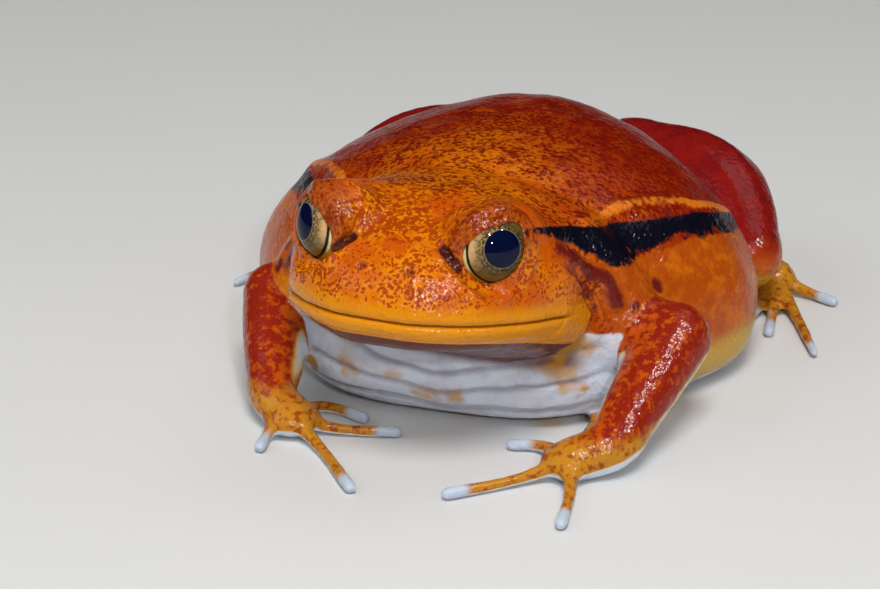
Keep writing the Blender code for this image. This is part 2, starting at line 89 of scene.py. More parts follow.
@dataclass(frozen=True)
class Plan:
    """Places of the plan in the frame.

    Attributes:
        torso_middle: y of the middle of the torso in the plan.
        head_turn: turn of the head about the neck, in degrees, to its left if positive.
        neck: y of the neck, about which the head turns.
    """

    torso_middle: float = 5.53
    head_turn: float = -3.6
    neck: float = -20.0

    def shift(self) -> Vector:
        """The frame's place of the plan's origin, in millimetres."""
        low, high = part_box("torso")
        return Vector(((low.x + high.x) / 2 / MM, (low.y + high.y) / 2 / MM - self.torso_middle, 0.0))

    def head_matrix(self) -> Matrix:
        """The turn of the head, in millimetres of the plan."""
        pivot = Vector((0.0, self.neck, 0.0))
        turn = Matrix.Rotation(math.radians(self.head_turn), 4, "Z")
        return Matrix.Translation(pivot) @ turn @ Matrix.Translation(-pivot)

    def place(self, point: tuple[float, float, float]) -> Vector:
        """A point of the plan, in metres of the frame.

        Args:
            point: the place in the plan.

        Returns:
            The same place in the frame.
        """
        return (Vector(point) + self.shift()) * MM

    def read(self, mesh: bpy.types.Mesh) -> tuple[np.ndarray, np.ndarray]:
        """The corners of a mesh in the plan.

        Args:
            mesh: a mesh in the frame.

        Returns:
            The corners in the plan of the body, and in that of the head before its turn.
        """
        flat = np.zeros(len(mesh.vertices) * 3)
        mesh.vertices.foreach_get("co", flat)
        body = flat.reshape(-1, 3) / MM - np.array(self.shift())
        back = np.array(self.head_matrix().inverted())
        head = body @ back[:3, :3].T + back[:3, 3]
        return body, head


def smooth_step(low: float, high: float, value: np.ndarray) -> np.ndarray:
    """A ramp from 0 at low to 1 at high with soft ends.

    Args:
        low: where the ramp starts.
        high: where it ends, which may be below low.
        value: the numbers to read.

    Returns:
        The ramp's height at each number.
    """
    share = np.clip((value - low) / (high - low), 0.0, 1.0)
    return share * share * (3.0 - 2.0 * share)


def bell(value: np.ndarray, width: float) -> np.ndarray:
    """A smooth bump of height 1 at 0.

    Args:
        value: the numbers to read.
        width: where the bump has fallen to about a third.

    Returns:
        The bump's height at each number.
    """
    return np.exp(-((value / width) ** 2))


def mirrored(points: np.ndarray) -> np.ndarray:
    """The points with both sides folded on to the left one."""
    folded = points.copy()
    folded[:, 0] = np.abs(folded[:, 0])
    return folded


def track_distance(points: np.ndarray, track: Track) -> tuple[np.ndarray, np.ndarray]:
    """How far points lie from a track of straight stretches.

    Args:
        points: rows of x, y and z.
        track: the corners of the track.

    Returns:
        The distance of each point, and its share of the way along the track.
    """
    best = np.full(len(points), np.inf)
    along = np.zeros(len(points))
    corners = np.array(track, float)
    stretches = len(corners) - 1
    for index in range(stretches):
        start, reach = corners[index], corners[index + 1] - corners[index]
        share = np.clip((points - start) @ reach / (reach @ reach), 0.0, 1.0)
        gap = np.linalg.norm(points - start - share[:, None] * reach, axis=1)
        nearer = gap < best
        best = np.where(nearer, gap, best)
        along = np.where(nearer, (index + share) / stretches, along)
    return best, along


def noise_field(points: np.ndarray, scale: float, seed: float) -> np.ndarray:
    """A smooth random field.

    Args:
        points: rows of x, y and z in millimetres.
        scale: the size of the field's lumps in millimetres.
        seed: moves the field, so that two fields differ.

    Returns:
        A number from about -1 to 1 at each point.
    """
    shift = Vector((seed, seed * 1.7, -seed))
    return np.array([noise.noise(Vector(point) / scale + shift) for point in points])


class Value:
    """A socket of a material that can be used in arithmetic."""

    def __init__(self, paint: "Paint", socket: bpy.types.NodeSocket) -> None:
        """Keeps the material being made and the socket."""
        self.paint = paint
        self.socket = socket

    def _math(self, operation: str, *values: "Value | float") -> "Value":
        """Adds a Math node.

        Args:
            operation: the node's operation.
            values: its inputs in order.

        Returns:
            The node's result.
        """
        return self.paint.add("Math", {"operation": operation}, 0, dict(enumerate(values)))

    def __add__(self, other: "Value | float") -> "Value":
        """The sum."""
        return self._math("ADD", self, other)

    __radd__ = __add__

    def __sub__(self, other: "Value | float") -> "Value":
        """The difference."""
        return self._math("SUBTRACT", self, other)

    def __rsub__(self, other: "Value | float") -> "Value":
        """The difference the other way round."""
        return self._math("SUBTRACT", other, self)

    def __mul__(self, other: "Value | float") -> "Value":
        """The product."""
        return self._math("MULTIPLY", self, other)

    __rmul__ = __mul__

    def __truediv__(self, other: "Value | float") -> "Value":
        """The quotient."""
        return self._math("DIVIDE", self, other)

    def __pow__(self, other: "Value | float") -> "Value":
        """The power."""
        return self._math("POWER", self, other)

    def __abs__(self) -> "Value":
        """The size without the sign."""
        return self._math("ABSOLUTE", self)

    def larger(self, other: "Value | float") -> "Value":
        """The larger of two values."""
        return self._math("MAXIMUM", self, other)

    def ramp(self, low: float, high: float) -> "Value":
        """A soft ramp from 0 at low to 1 at high.

        Args:
            low: where the ramp starts.
            high: where it ends, which may be below low.

        Returns:
            The ramp's height.
        """
        falls = high < low
        sockets = {
            "Value": self,
            "From Min": min(low, high),
            "From Max": max(low, high),
            "To Min": float(falls),
            "To Max": float(not falls),
        }
        return self.paint.add("MapRange", {"interpolation_type": "SMOOTHSTEP"}, "Result", sockets)


class Paint:
    """A material being made from nodes."""

    def __init__(self, name: str) -> None:
        """Makes the material and keeps its shader.

        Args:
            name: the material's name.
        """
        self.material = bpy.data.materials.new(name)
        self.material.use_nodes = True
        self.tree = self.material.node_tree
        self.shader = self.tree.nodes["Principled BSDF"]

    def feed(self, socket: bpy.types.NodeSocket, value: object) -> None:
        """Gives a socket a value or a link.

        Args:
            socket: the input to set.
            value: a Value to link, a colour of three numbers, or a plain value.
        """
        if isinstance(value, Value):
            self.tree.links.new(value.socket, socket)
        elif isinstance(value, tuple) and socket.type == "RGBA":
            socket.default_value = (*value, 1.0)
        else:
            socket.default_value = value

    def add(self, kind: str, settings: dict[str, object], out: str | int, sockets: dict) -> Value:
        """Adds any node.

        Args:
            kind: the node's type without its prefix.
            settings: properties of the node, which are set first.
            out: the output to return.
            sockets: values or links of its inputs, by name or place.

        Returns:
            The chosen output.
        """
        node = self.tree.nodes.new("ShaderNode" + kind)
        for name, setting in settings.items():
            setattr(node, name, setting)
        for key, value in sockets.items():
            self.feed(node.inputs[key], value)
        return Value(self, node.outputs[out])

    def blend(self, share: "Value | float", low: object, high: object) -> Value:
        """Mixes two colours.

        Args:
            share: 0 for the first colour and 1 for the second.
            low: the first colour.
            high: the second colour.

        Returns:
            The mixed colour.
        """
        return self.add("Mix", {"data_type": "RGBA"}, 2, {0: share, 6: low, 7: high})

    def mark(self, name: str) -> Value:
        """A number kept at each corner of the mesh."""
        return self.add("Attribute", {"attribute_name": name}, "Fac", {})

    def coordinates(self) -> Value:
        """The place in the object, in metres."""
        return self.add("TexCoord", {}, "Object", {})

    def wandering(self, where: Value, size: float, reach: float) -> Value:
        """Coordinates that wander a little, so that specks look grown.

        Args:
            where: the plain coordinates.
            size: the size of the lumps of the wandering, in millimetres.
            reach: how far it goes, in millimetres.

        Returns:
            The wandering coordinates.
        """
        lumps = {"Vector": where, "Scale": 1.0 / (size * MM), "Detail": 1.0}
        drift = self.add("TexNoise", {}, "Color", lumps)
        push = self.add("VectorMath", {"operation": "SCALE"}, 0, {"Vector": drift, "Scale": reach * MM})
        return self.add("VectorMath", {"operation": "ADD"}, 0, {0: where, 1: push})

    def noise(self, where: Value, size: float, detail: float = 2.0, rough: float = 0.5) -> Value:
        """A noise whose lumps are about size across.

        Args:
            where: the coordinates to read it at.
            size: the size of its lumps, in millimetres.
            detail: how many finer layers it has.
            rough: how strong the finer layers are.

        Returns:
            A number around 0.5.
        """
        sockets = {"Vector": where, "Scale": 1.0 / (size * MM), "Detail": detail, "Roughness": rough}
        return self.add("TexNoise", {}, 0, sockets)

    def cells(self, where: Value, size: float, feature: str = "F1") -> Value:
        """The distance to the nearest of scattered points.

        Args:
            where: the coordinates to read it at.
            size: the space between the points, in millimetres.
            feature: which distance is read.

        Returns:
            The distance as a share of the space.
        """
        sockets = {"Vector": where, "Scale": 1.0 / (size * MM)}
        return self.add("TexVoronoi", {"feature": feature}, "Distance", sockets)

    def surface(self, **inputs: object) -> None:
        """Sets sockets of the shader, with spaces written as _."""
        for name, value in inputs.items():
            self.feed(self.shader.inputs[name.replace("_", " ")], value)

    def relief(self, height: Value, depth: float) -> None:
        """Feeds a bump to the shader.

        Args:
            height: the height field, from 0 to 1.
            depth: what a height of 1 stands for, in millimetres.
        """
        self.surface(Normal=self.add("Bump", {}, "Normal", {"Height": height, "Distance": depth * MM}))


@dataclass(frozen=True)
class Noises:
    """The noises that the skin's colours share.

    Attributes:
        where: the place in the object.
        fine: the noise that frays the edges of colours.
        net: what the net of the back follows.
        specks: the distance to the middle of the nearest freckle.
        marble: what the marbling of the arms follows.
        mottle: what clusters of flecks follow.
        coarse: what broad changes of tone follow.
    """

    where: Value
    fine: Value
    net: Value
    specks: Value
    marble: Value
    mottle: Value
    coarse: Value


@dataclass(frozen=True)
class SkinFinish:
    """Colours and gloss of the moist skin. Colours are linear, and sizes are in millimetres."""

    orange: Colour = (0.48, 0.064, 0.002)
    bright: Colour = (0.64, 0.155, 0.003)
    red: Colour = (0.23, 0.009, 0.002)
    fleck: Colour = (0.17, 0.007, 0.002)
    face: Colour = (0.70, 0.205, 0.002)
    face_deep: Colour = (0.54, 0.088, 0.002)
    lip: Colour = (0.68, 0.245, 0.004)
    lip_low: Colour = (0.70, 0.265, 0.006)
    stripe: Colour = (0.004, 0.004, 0.010)
    freckle: Colour = (0.30, 0.020, 0.002)
    # Painted shade: the dark in the pits before the eyes and in the nostrils.
    pit: Colour = (0.050, 0.004, 0.006)
    maroon: Colour = (0.115, 0.006, 0.008)
    lid: Colour = (0.34, 0.055, 0.006)
    flank: Colour = (0.41, 0.066, 0.003)
    low_flank: Colour = (0.58, 0.33, 0.045)
    pale: Colour = (0.72, 0.78, 0.90)
    # The real mauve under the jaw, darkened with painted shade for the shadow under the overhanging jaw.
    throat_shade: Colour = (0.120, 0.038, 0.032)
    # A real mauve-grey tone of the chest, and painted shade in the bottoms of its wrinkles.
    mauve_and_furrow_shade: Colour = (0.26, 0.22, 0.26)
    patch: Colour = (0.64, 0.31, 0.022)
    arm: Colour = (0.50, 0.080, 0.004)
    arm_red: Colour = (0.26, 0.015, 0.005)
    cream: Colour = (0.76, 0.62, 0.40)
    thigh: Colour = (0.25, 0.008, 0.006)
    thigh_deep: Colour = (0.18, 0.006, 0.006)
    finger: Colour = (0.52, 0.215, 0.014)
    tip: Colour = (0.50, 0.57, 0.68)
    # Painted shade: the dark in the mouth's line and in the fold behind the jaw.
    crease: Colour = (0.13, 0.022, 0.006)
    ridge: Colour = (0.72, 0.19, 0.012)

    fine_size: float = 0.85
    net_size: float = 0.60
    speck_size: float = 0.48
    marble_size: float = 1.0
    mottle_size: float = 2.6
    coarse_size: float = 7.5
    patch_size: float = 5.0
    grain_size: float = 0.60
    ripple_size: float = 0.36
    drift_size: float = 1.0 / 1.1
    drift_reach: float = 0.9
    relief_depth: float = 0.15
    radius: tuple[float, float, float] = (1.0, 0.3, 0.12)

    def material(self) -> bpy.types.Material:
        """Makes the skin's material from the marks that the skin carries.

        Returns:
            The material.
        """
        paint = Paint("moist_skin")
        noises = self._noises(paint)
        base = self._back(paint, noises)
        base = self._flanks(paint, base, noises)
        base = self._face(paint, base, noises)
        base = self._chest(paint, base, noises)
        limb = (paint.mark("limb") + (noises.mottle - 0.5) * 0.4).ramp(0.35, 0.65)
        base = paint.blend(limb, base, self._limbs(paint, noises))
        base = self._lines(paint, base, noises)
        cells = paint.cells(noises.where, self.grain_size, "SMOOTH_F1")
        ripple = paint.noise(noises.where, self.ripple_size, 1.0, 0.5)
        grain = (cells * 0.70 + ripple * 0.55) * (1.0 - paint.mark("slick") * 0.30)
        paint.relief(grain + noises.mottle * 0.6, self.relief_depth)
        paint.surface(
            Base_Color=base,
            Roughness=0.12 + noises.fine * 0.14,
            Specular_IOR_Level=0.28,
            Subsurface_Weight=0.05,
            Subsurface_Radius=self.radius,
            Subsurface_Scale=MM,
            IOR=1.42,
        )
        return paint.material

    def _noises(self, paint: Paint) -> Noises:
        """Makes the noises that the colours share.

        Args:
            paint: the material being made.

        Returns:
            The noises.
        """
        where = paint.coordinates()
        wandering = paint.wandering(where, self.drift_size, self.drift_reach)
        return Noises(
            where=where,
            fine=paint.noise(where, self.fine_size, 1.5, 0.5),
            net=paint.noise(wandering, self.net_size, 2.5, 0.60),
            specks=paint.cells(wandering, self.speck_size),
            marble=paint.noise(where, self.marble_size, 3.0, 0.62),
            mottle=paint.noise(where, self.mottle_size, 3.0, 0.6),
            coarse=paint.noise(where, self.coarse_size, 3.0, 0.55),
        )

    def _back(self, paint: Paint, noises: Noises) -> Value:
        """The net of dark flecks on the orange of the back, which reddens toward the rump.

        Args:
            paint: the material being made.
            noises: the shared noises.

        Returns:
            The colour of the back.
        """
        net, mottle, coarse = noises.net, noises.mottle - 0.5, noises.coarse - 0.5
        gold = (noises.coarse + paint.mark("crown") * 0.25).ramp(0.42, 0.72)
        ground = paint.blend(gold, self.orange, self.bright)
        reddening = (paint.mark("rump") * 1.05 + mottle * 1.1 + (net - 0.5) * 0.9).ramp(0.05, 1.15)
        ground = paint.blend(reddening, ground, self.red)
        flecks = (net + mottle * 0.34 + coarse * 0.22).ramp(0.475, 0.585)
        return paint.blend(flecks * 0.90, ground, self.fleck)

    def _flanks(self, paint: Paint, base: Value, noises: Noises) -> Value:
        """The clear orange of the flanks, paler toward the floor.

        Args:
            paint: the material being made.
            base: the colour so far.
            noises: the shared noises.

        Returns:
            The colour with the flanks.
        """
        bright = (noises.mottle + noises.fine * 0.4).ramp(0.60, 0.95) * 0.7
        flank = paint.blend(bright, self.flank, self.bright)
        low = (paint.mark("low_flank") + (noises.coarse - 0.5) * 0.5).ramp(0.2, 0.9)
        flank = paint.blend(low, flank, self.low_flank)
        share = (paint.mark("flank") + (noises.mottle - 0.5) * 0.5).ramp(0.3, 0.7)
        return paint.blend(share, base, flank)

    def _face(self, paint: Paint, base: Value, noises: Noises) -> Value:
        """The golden orange face with its freckles, the lips and the lids.

        Args:
            paint: the material being made.
            base: the colour so far.
            noises: the shared noises.

        Returns:
            The colour with the face.
        """
        mottle, coarse, crown = noises.mottle - 0.5, noises.coarse - 0.5, paint.mark("crown")
        face = paint.blend((noises.coarse + mottle * 0.6).ramp(0.36, 0.62), self.face_deep, self.face)
        lips = paint.blend(paint.mark("gape").ramp(0.0, -1.3), self.lip, self.lip_low)
        face = paint.blend(paint.mark("lip"), face, lips)
        cluster = mottle + coarse
        sparse = paint.mark("lip") * 0.42 - crown * 0.10 - paint.mark("spotty") * 0.12
        flecks = (0.62 - noises.specks + cluster - sparse).ramp(0.14, 0.38)
        dense = (noises.net + cluster * 0.30 - sparse * 0.4).ramp(0.49, 0.60)
        flecks = flecks + (dense - flecks) * crown.ramp(0.05, 0.55)
        face = paint.blend(flecks * 0.85, face, self.freckle)
        base = paint.blend(paint.mark("head"), base, face)
        lid = paint.blend(dense.larger(flecks * 0.8), self.lid, self.fleck)
        return paint.blend(paint.mark("lid") * 0.78, base, lid)

    def _chest(self, paint: Paint, base: Value, noises: Noises) -> Value:
        """The bluish white chest and belly, the mauve under the jaw darkened with painted shade, the
        painted shade in the chest's wrinkles, and their golden patches.

        Args:
            paint: the material being made.
            base: the colour so far.
            noises: the shared noises.

        Returns:
            The colour with the underside.
        """
        patch = paint.noise(noises.where, self.patch_size, 2.5, 0.5).ramp(0.50, 0.66)
        chest = paint.blend(noises.mottle.ramp(0.40, 0.80) * 0.30, self.pale, self.mauve_and_furrow_shade)
        # Painted shade: the band under the jaw is darkened toward a dark maroon.
        chest = paint.blend(paint.mark("throat_shade"), chest, self.throat_shade)
        chest = paint.blend(patch * paint.mark("patches") * 0.9, chest, self.patch)
        # Painted shade: the bottoms of the chest's wrinkles are darkened.
        chest = paint.blend(paint.mark("mauve_and_furrow_shade") * 0.7, chest, self.mauve_and_furrow_shade)
        share = (paint.mark("belly") + (noises.mottle - 0.5) * 0.3).ramp(0.35, 0.65)
        return paint.blend(share, base, chest)

    def _limbs(self, paint: Paint, noises: Noises) -> Value:
        """The marbled arms, the crimson legs, the golden digits and their white tips.

        Args:
            paint: the material being made.
            noises: the shared noises.

        Returns:
            The colour of the limbs.
        """
        fine, marble, mottle = noises.fine, noises.marble, noises.mottle - 0.5
        digit, outer, shin = paint.mark("digit"), paint.mark("outer"), paint.mark("shin")
        arm_share = (marble + mottle * 0.30 + outer * 0.11 - digit * 0.04).ramp(0.40, 0.60)
        arm = paint.blend(arm_share, self.arm, self.arm_red)
        flecks = (fine * 0.5 + marble * 0.5 - digit * 0.02).ramp(0.47, 0.58) * 0.75
        golden = paint.blend(flecks, self.finger, self.arm_red)
        arm = paint.blend((digit + mottle * 0.7).ramp(0.30, 1.05), arm, golden)
        leg_share = (noises.mottle + (marble - 0.5) * 0.5).ramp(0.34, 0.66)
        leg = paint.blend(leg_share, self.thigh_deep, self.thigh)
        leg = paint.blend((shin + mottle * 0.5).ramp(0.10, 0.80), leg, self.arm)
        leg = paint.blend((shin + digit + mottle * 0.6).ramp(0.60, 1.00), leg, golden)
        limbs = paint.blend(paint.mark("leg"), arm, leg)
        inner = paint.mark("inner") + mottle * 0.5
        steps = ((0.15, 0.45, self.patch), (0.35, 0.60, self.cream), (0.60, 0.90, self.pale))
        for low, high, colour in steps:
            limbs = paint.blend(inner.ramp(low, high), limbs, colour)
        return paint.blend((paint.mark("tip") + (fine - 0.5) * 0.9).ramp(-0.9, 0.6), limbs, self.tip)

    def _lines(self, paint: Paint, base: Value, noises: Noises) -> Value:
        """The black stripe, the maroon band, the light ridge, and the painted shade in the mouth's line,
        the fold behind the jaw, the pits and the nostrils.

        Args:
            paint: the material being made.
            base: the colour so far.
            noises: the shared noises.

        Returns:
            The finished colour.
        """
        fine, mottle = noises.fine - 0.5, noises.mottle - 0.5
        fray = fine * 0.9
        base = paint.blend((paint.mark("ridge") + fray).ramp(0.35, 0.75) * 0.85, base, self.ridge)
        band = (paint.mark("maroon") + fray + mottle * 2.2).ramp(-0.45, 0.35)
        base = paint.blend(band * 0.92, base, self.maroon)
        top = (paint.mark("stripe_top") + fine * 0.35).ramp(-0.15, 0.15)
        low = (paint.mark("stripe_low") + fray * 1.6 + mottle * 4.4).ramp(-0.30, 0.45)
        base = paint.blend(top * low, base, self.stripe)
        # Painted shade: the mouth's line is darkened along its groove.
        gape = abs(paint.mark("gape")).ramp(0.17, 0.03) * paint.mark("mouth")
        base = paint.blend(gape * 0.62, base, self.crease)
        # Painted shade: the fold behind the jaw is darkened along its groove.
        base = paint.blend(paint.mark("jaw_fold") * 0.55, base, self.crease)
        # Painted shade in the pits before the eyes and in the nostrils.
        return paint.blend(paint.mark("pit"), base, self.pit)


@dataclass(frozen=True)
class EyeFinish:
    """Colours of the eye. Places across it are read from the piece's own eye_place attribute, in mm."""

    pupil: Colour = (0.002, 0.004, 0.024)
    rim: Colour = (0.34, 0.26, 0.16)
    gold: Colour = (0.17, 0.110, 0.035)
    cream: Colour = (0.60, 0.37, 0.16)
    olive: Colour = (0.15, 0.098, 0.022)
    vein: Colour = (0.010, 0.008, 0.007)
    white: Colour = (0.80, 0.71, 0.30)
    lime: Colour = (0.40, 0.30, 0.014)
    vein_scale: float = 2.9
    twig_scale: float = 1.5

    def material(self, eye: "Eye") -> bpy.types.Material:
        """Makes the eye's material.

        Args:
            eye: the eye, for its sizes.

        Returns:
            The material.
        """
        paint = Paint(f"wet_eye_{eye.side.label}")
        place = paint.add("Attribute", {"attribute_name": "eye_place"}, "Vector", {})
        across = paint.add("SeparateXYZ", {}, "X", {"Vector": place})
        up = paint.add("SeparateXYZ", {}, "Y", {"Vector": place})
        beside, above = across - eye.iris_centre[0], up - eye.iris_centre[1]
        radius = (beside * beside + above * above) ** 0.5
        aside, below = across - eye.pupil_centre[0], up - eye.pupil_centre[1]
        pupil = (aside * aside + below * below) ** 0.5
        drawn = self._noise(paint, place, self.vein_scale, 5.0, 0.70)
        twig = self._noise(paint, place, self.twig_scale, 2.0, 0.5)
        inward = (pupil - eye.pupil) / (eye.iris - eye.pupil)
        veins = abs(drawn - 0.5).ramp(0.050, 0.018) * (inward + (twig - 0.5) * 1.1).ramp(1.0, 0.40)
        veins = veins.larger((drawn - inward * 0.26).ramp(0.44, 0.52) * inward.ramp(0.90, 0.40))
        light = (up * 0.9 - across * 0.8 + (twig - 0.5) * 1.5).ramp(-0.9, 3.0)
        iris = paint.blend(light, self.olive, self.cream)
        iris = paint.blend(inward.ramp(0.9, 0.1) * 0.6, iris, self.gold)
        iris = paint.blend((across + up * 0.6).ramp(1.3, 2.8), iris, self.olive)
        iris = paint.blend(veins * 0.9, iris, self.vein)
        edge = radius + (twig - 0.5) * 0.10
        colour = paint.blend(edge.ramp(eye.iris, eye.iris + 0.07), iris, self.vein)
        white = paint.blend((up + 2.3).ramp(0.4, -0.5), self.white, self.lime)
        colour = paint.blend(edge.ramp(eye.iris + 0.20, eye.iris + 0.30), colour, white)
        ring = (pupil + (drawn - 0.5) * 0.16).ramp(eye.pupil + 0.12, eye.pupil + 0.05)
        colour = paint.blend(ring * drawn.ramp(0.44, 0.56) * 0.7, colour, self.rim)
        colour = paint.blend(pupil.ramp(eye.pupil + 0.02, eye.pupil - 0.05), colour, self.pupil)
        paint.surface(
            Base_Color=colour,
            Roughness=0.35,
            Specular_IOR_Level=0.0,
            Coat_Weight=1.0,
            Coat_Roughness=0.02,
            Coat_IOR=1.27,
        )
        return paint.material

    def _noise(self, paint: Paint, place: Value, scale: float, detail: float, rough: float) -> Value:
        """A noise across the eye.

        Args:
            paint: the material being made.
            place: the place across the eye, in millimetres.
            scale: how many lumps it has in a millimetre.
            detail: how many finer layers it has.
            rough: how strong the finer layers are.

        Returns:
            A number around 0.5.
        """
        return paint.noise(place, 1.0 / (scale * MM), detail, rough)


@dataclass(frozen=True)
class FloorFinish:
    """The plain pale floor."""

    tone: Colour = (0.70, 0.70, 0.69)
    shade: Colour = (0.64, 0.64, 0.635)

    def material(self) -> bpy.types.Material:
        """Makes the floor's material."""
        paint = Paint("pale_floor")
        cloud = paint.noise(paint.coordinates(), 40.0, 3.0, 0.5)
        paint.surface(Base_Color=paint.blend(cloud * 0.4, self.tone, self.shade), Roughness=0.8)
        return paint.material


@dataclass
class Eye:
    """One eyeball, in plan millimetres before the head's turn.

    Attributes:
        lid_turns: angles round the way the eye looks, 0 away from the snout and 90 up.
        lid_angles: how far from the way the eye looks the lids' edge lies at each turn.
    """

    side: Side
    plan: Plan
    centre: tuple[float, float, float] = (9.3, -35.4, 26.2)
    axis: tuple[float, float, float] = (0.62, -0.735, 0.27)
    radius: float = 4.4
    opening: float = 3.7
    pupil: float = 2.12
    pupil_centre: tuple[float, float] = (0.15, -0.16)
    iris: float = 3.5
    iris_centre: tuple[float, float] = (0.12, -0.36)
    rounds: int = 72
    lid_turns: tuple[float, ...] = (
        *(-180, -169, -147, -126, -107, -94, -76, -56, -22, 10),
        *(24, 37, 53, 67, 88, 106, 127, 141, 150, 166, 174),
    )
    lid_angles: tuple[float, ...] = (
        *(54, 58, 62, 66, 64, 56, 49, 41, 36, 36.5),
        *(42, 47, 42, 34, 26.5, 27.5, 30.5, 34, 37, 44, 50),
    )

    def centre_in_plan(self) -> Vector:
        """The eyeball's centre, before the head's turn."""
        return Vector((self.side.value * self.centre[0], *self.centre[1:]))

    def own_axes(self) -> Matrix:
        """The eye's own axes before the head's turn: x away from the snout, y up, z the way it looks."""
        look = Vector((self.side.value * self.axis[0], *self.axis[1:])).normalized()
        away = Vector((0.0, 0.0, 1.0)).cross(look).normalized() * self.side.value
        up = look.cross(away) * self.side.value
        return Matrix((away, up, look)).transposed()

    def frame_matrix(self) -> Matrix:
        """The eye's own axes in the frame."""
        own = Matrix.Translation(self.centre_in_plan()) @ self.own_axes().to_4x4()
        plan_to_frame = Matrix.Scale(MM, 4) @ Matrix.Translation(self.plan.shift())
        return plan_to_frame @ self.plan.head_matrix() @ own

    def own_places(self, head: np.ndarray) -> np.ndarray:
        """Places in the eye's own axes.

        Args:
            head: corners in the plan of the head.

        Returns:
            Rows of x, y and z from the eyeball's centre.
        """
        return (head - np.array(self.centre_in_plan())) @ np.array(self.own_axes())

    def lid_edge(self, turn: np.ndarray) -> np.ndarray:
        """The angle of the lids' edge.

        Args:
            turn: angles round the way the eye looks, in radians.

        Returns:
            The angles from the way the eye looks, in radians.
        """
        edge = np.interp(np.degrees(turn), self.lid_turns, self.lid_angles, period=360.0)
        return np.radians(edge)

    @staticmethod
    def put_in_order(ball: bmesh.types.BMesh) -> None:
        """Sorts the faces by their corners, since a new sphere's come in another order each run.

        Args:
            ball: the eyeball's mesh, sorted in place.
        """
        ball.verts.index_update()
        ranked = sorted(ball.faces, key=lambda face: sorted(vert.index for vert in face.verts))
        order = {face: rank for rank, face in enumerate(ranked)}
        ball.faces.sort(key=order.get)

    def build(self) -> bpy.types.Object:
        """Makes the eyeball and keeps each corner's own place on it.

        Returns:
            The eyeball.
        """
        ball = bmesh.new()
        bmesh.ops.create_uvsphere(
            ball, u_segments=2 * self.rounds, v_segments=self.rounds, radius=self.radius
        )
        mark = ball.verts.layers.float_vector.new("eye_place")
        for vert in ball.verts:
            vert[mark] = vert.co.copy()
        bmesh.ops.transform(ball, matrix=self.frame_matrix(), verts=ball.verts)
        bmesh.ops.recalc_face_normals(ball, faces=ball.faces)
        self.put_in_order(ball)
        mesh = bpy.data.meshes.new(f"eyeball_{self.side.label}")
        ball.to_mesh(mesh)
        ball.free()
        mesh.shade_smooth()
        piece = bpy.data.objects.new(mesh.name, mesh)
        bpy.context.scene.collection.objects.link(piece)
        return piece

    def dress(self, piece: bpy.types.Object) -> None:
        """Gives the eyeball its finish and its place in the frame.

        Args:
            piece: the eyeball.
        """
        piece.data.materials.append(EyeFinish().material(self))
        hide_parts(f"eye_{self.side.label}")
        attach(piece, "root")


@dataclass
class Sample:
    """What is known of each corner of the skin.

    Attributes:
        body: places in the plan of the body.
        head: places in the plan of the head, before its turn.
        normals: directions out of the skin.
        limb: 0 on the body and 1 on a limb.
        leg: 0 on the arms and 1 on the legs.
    """

    body: np.ndarray
    head: np.ndarray
    normals: np.ndarray
    limb: np.ndarray
    leg: np.ndarray

    @property
    def trunk(self) -> np.ndarray:
        """1 on the body and 0 on a limb."""
        return 1.0 - self.limb

    @property
    def side(self) -> np.ndarray:
        """Places in the plan of the body, folded on to its left side."""
        return mirrored(self.body)

    @property
    def side_head(self) -> np.ndarray:
        """Places in the plan of the head, folded on to its left side."""
        return mirrored(self.head)


@dataclass(frozen=True)
class Fold:
    """A ridge or a groove along a track.

    Attributes:
        track: the corners of its way.
        height: how far it stands out, or below 0 how far it sinks.
        width: how far from its middle it has fallen to about a third.
        aside: how far beside the track its middle lies.
    """

    track: Track
    height: float
    width: float
    aside: float = 0.0

    def lift(self, points: np.ndarray) -> np.ndarray:
        """How far the fold moves each point outwards, in millimetres."""
        gap, _ = track_distance(points, self.track)
        return self.height * bell(gap - self.aside, self.width)


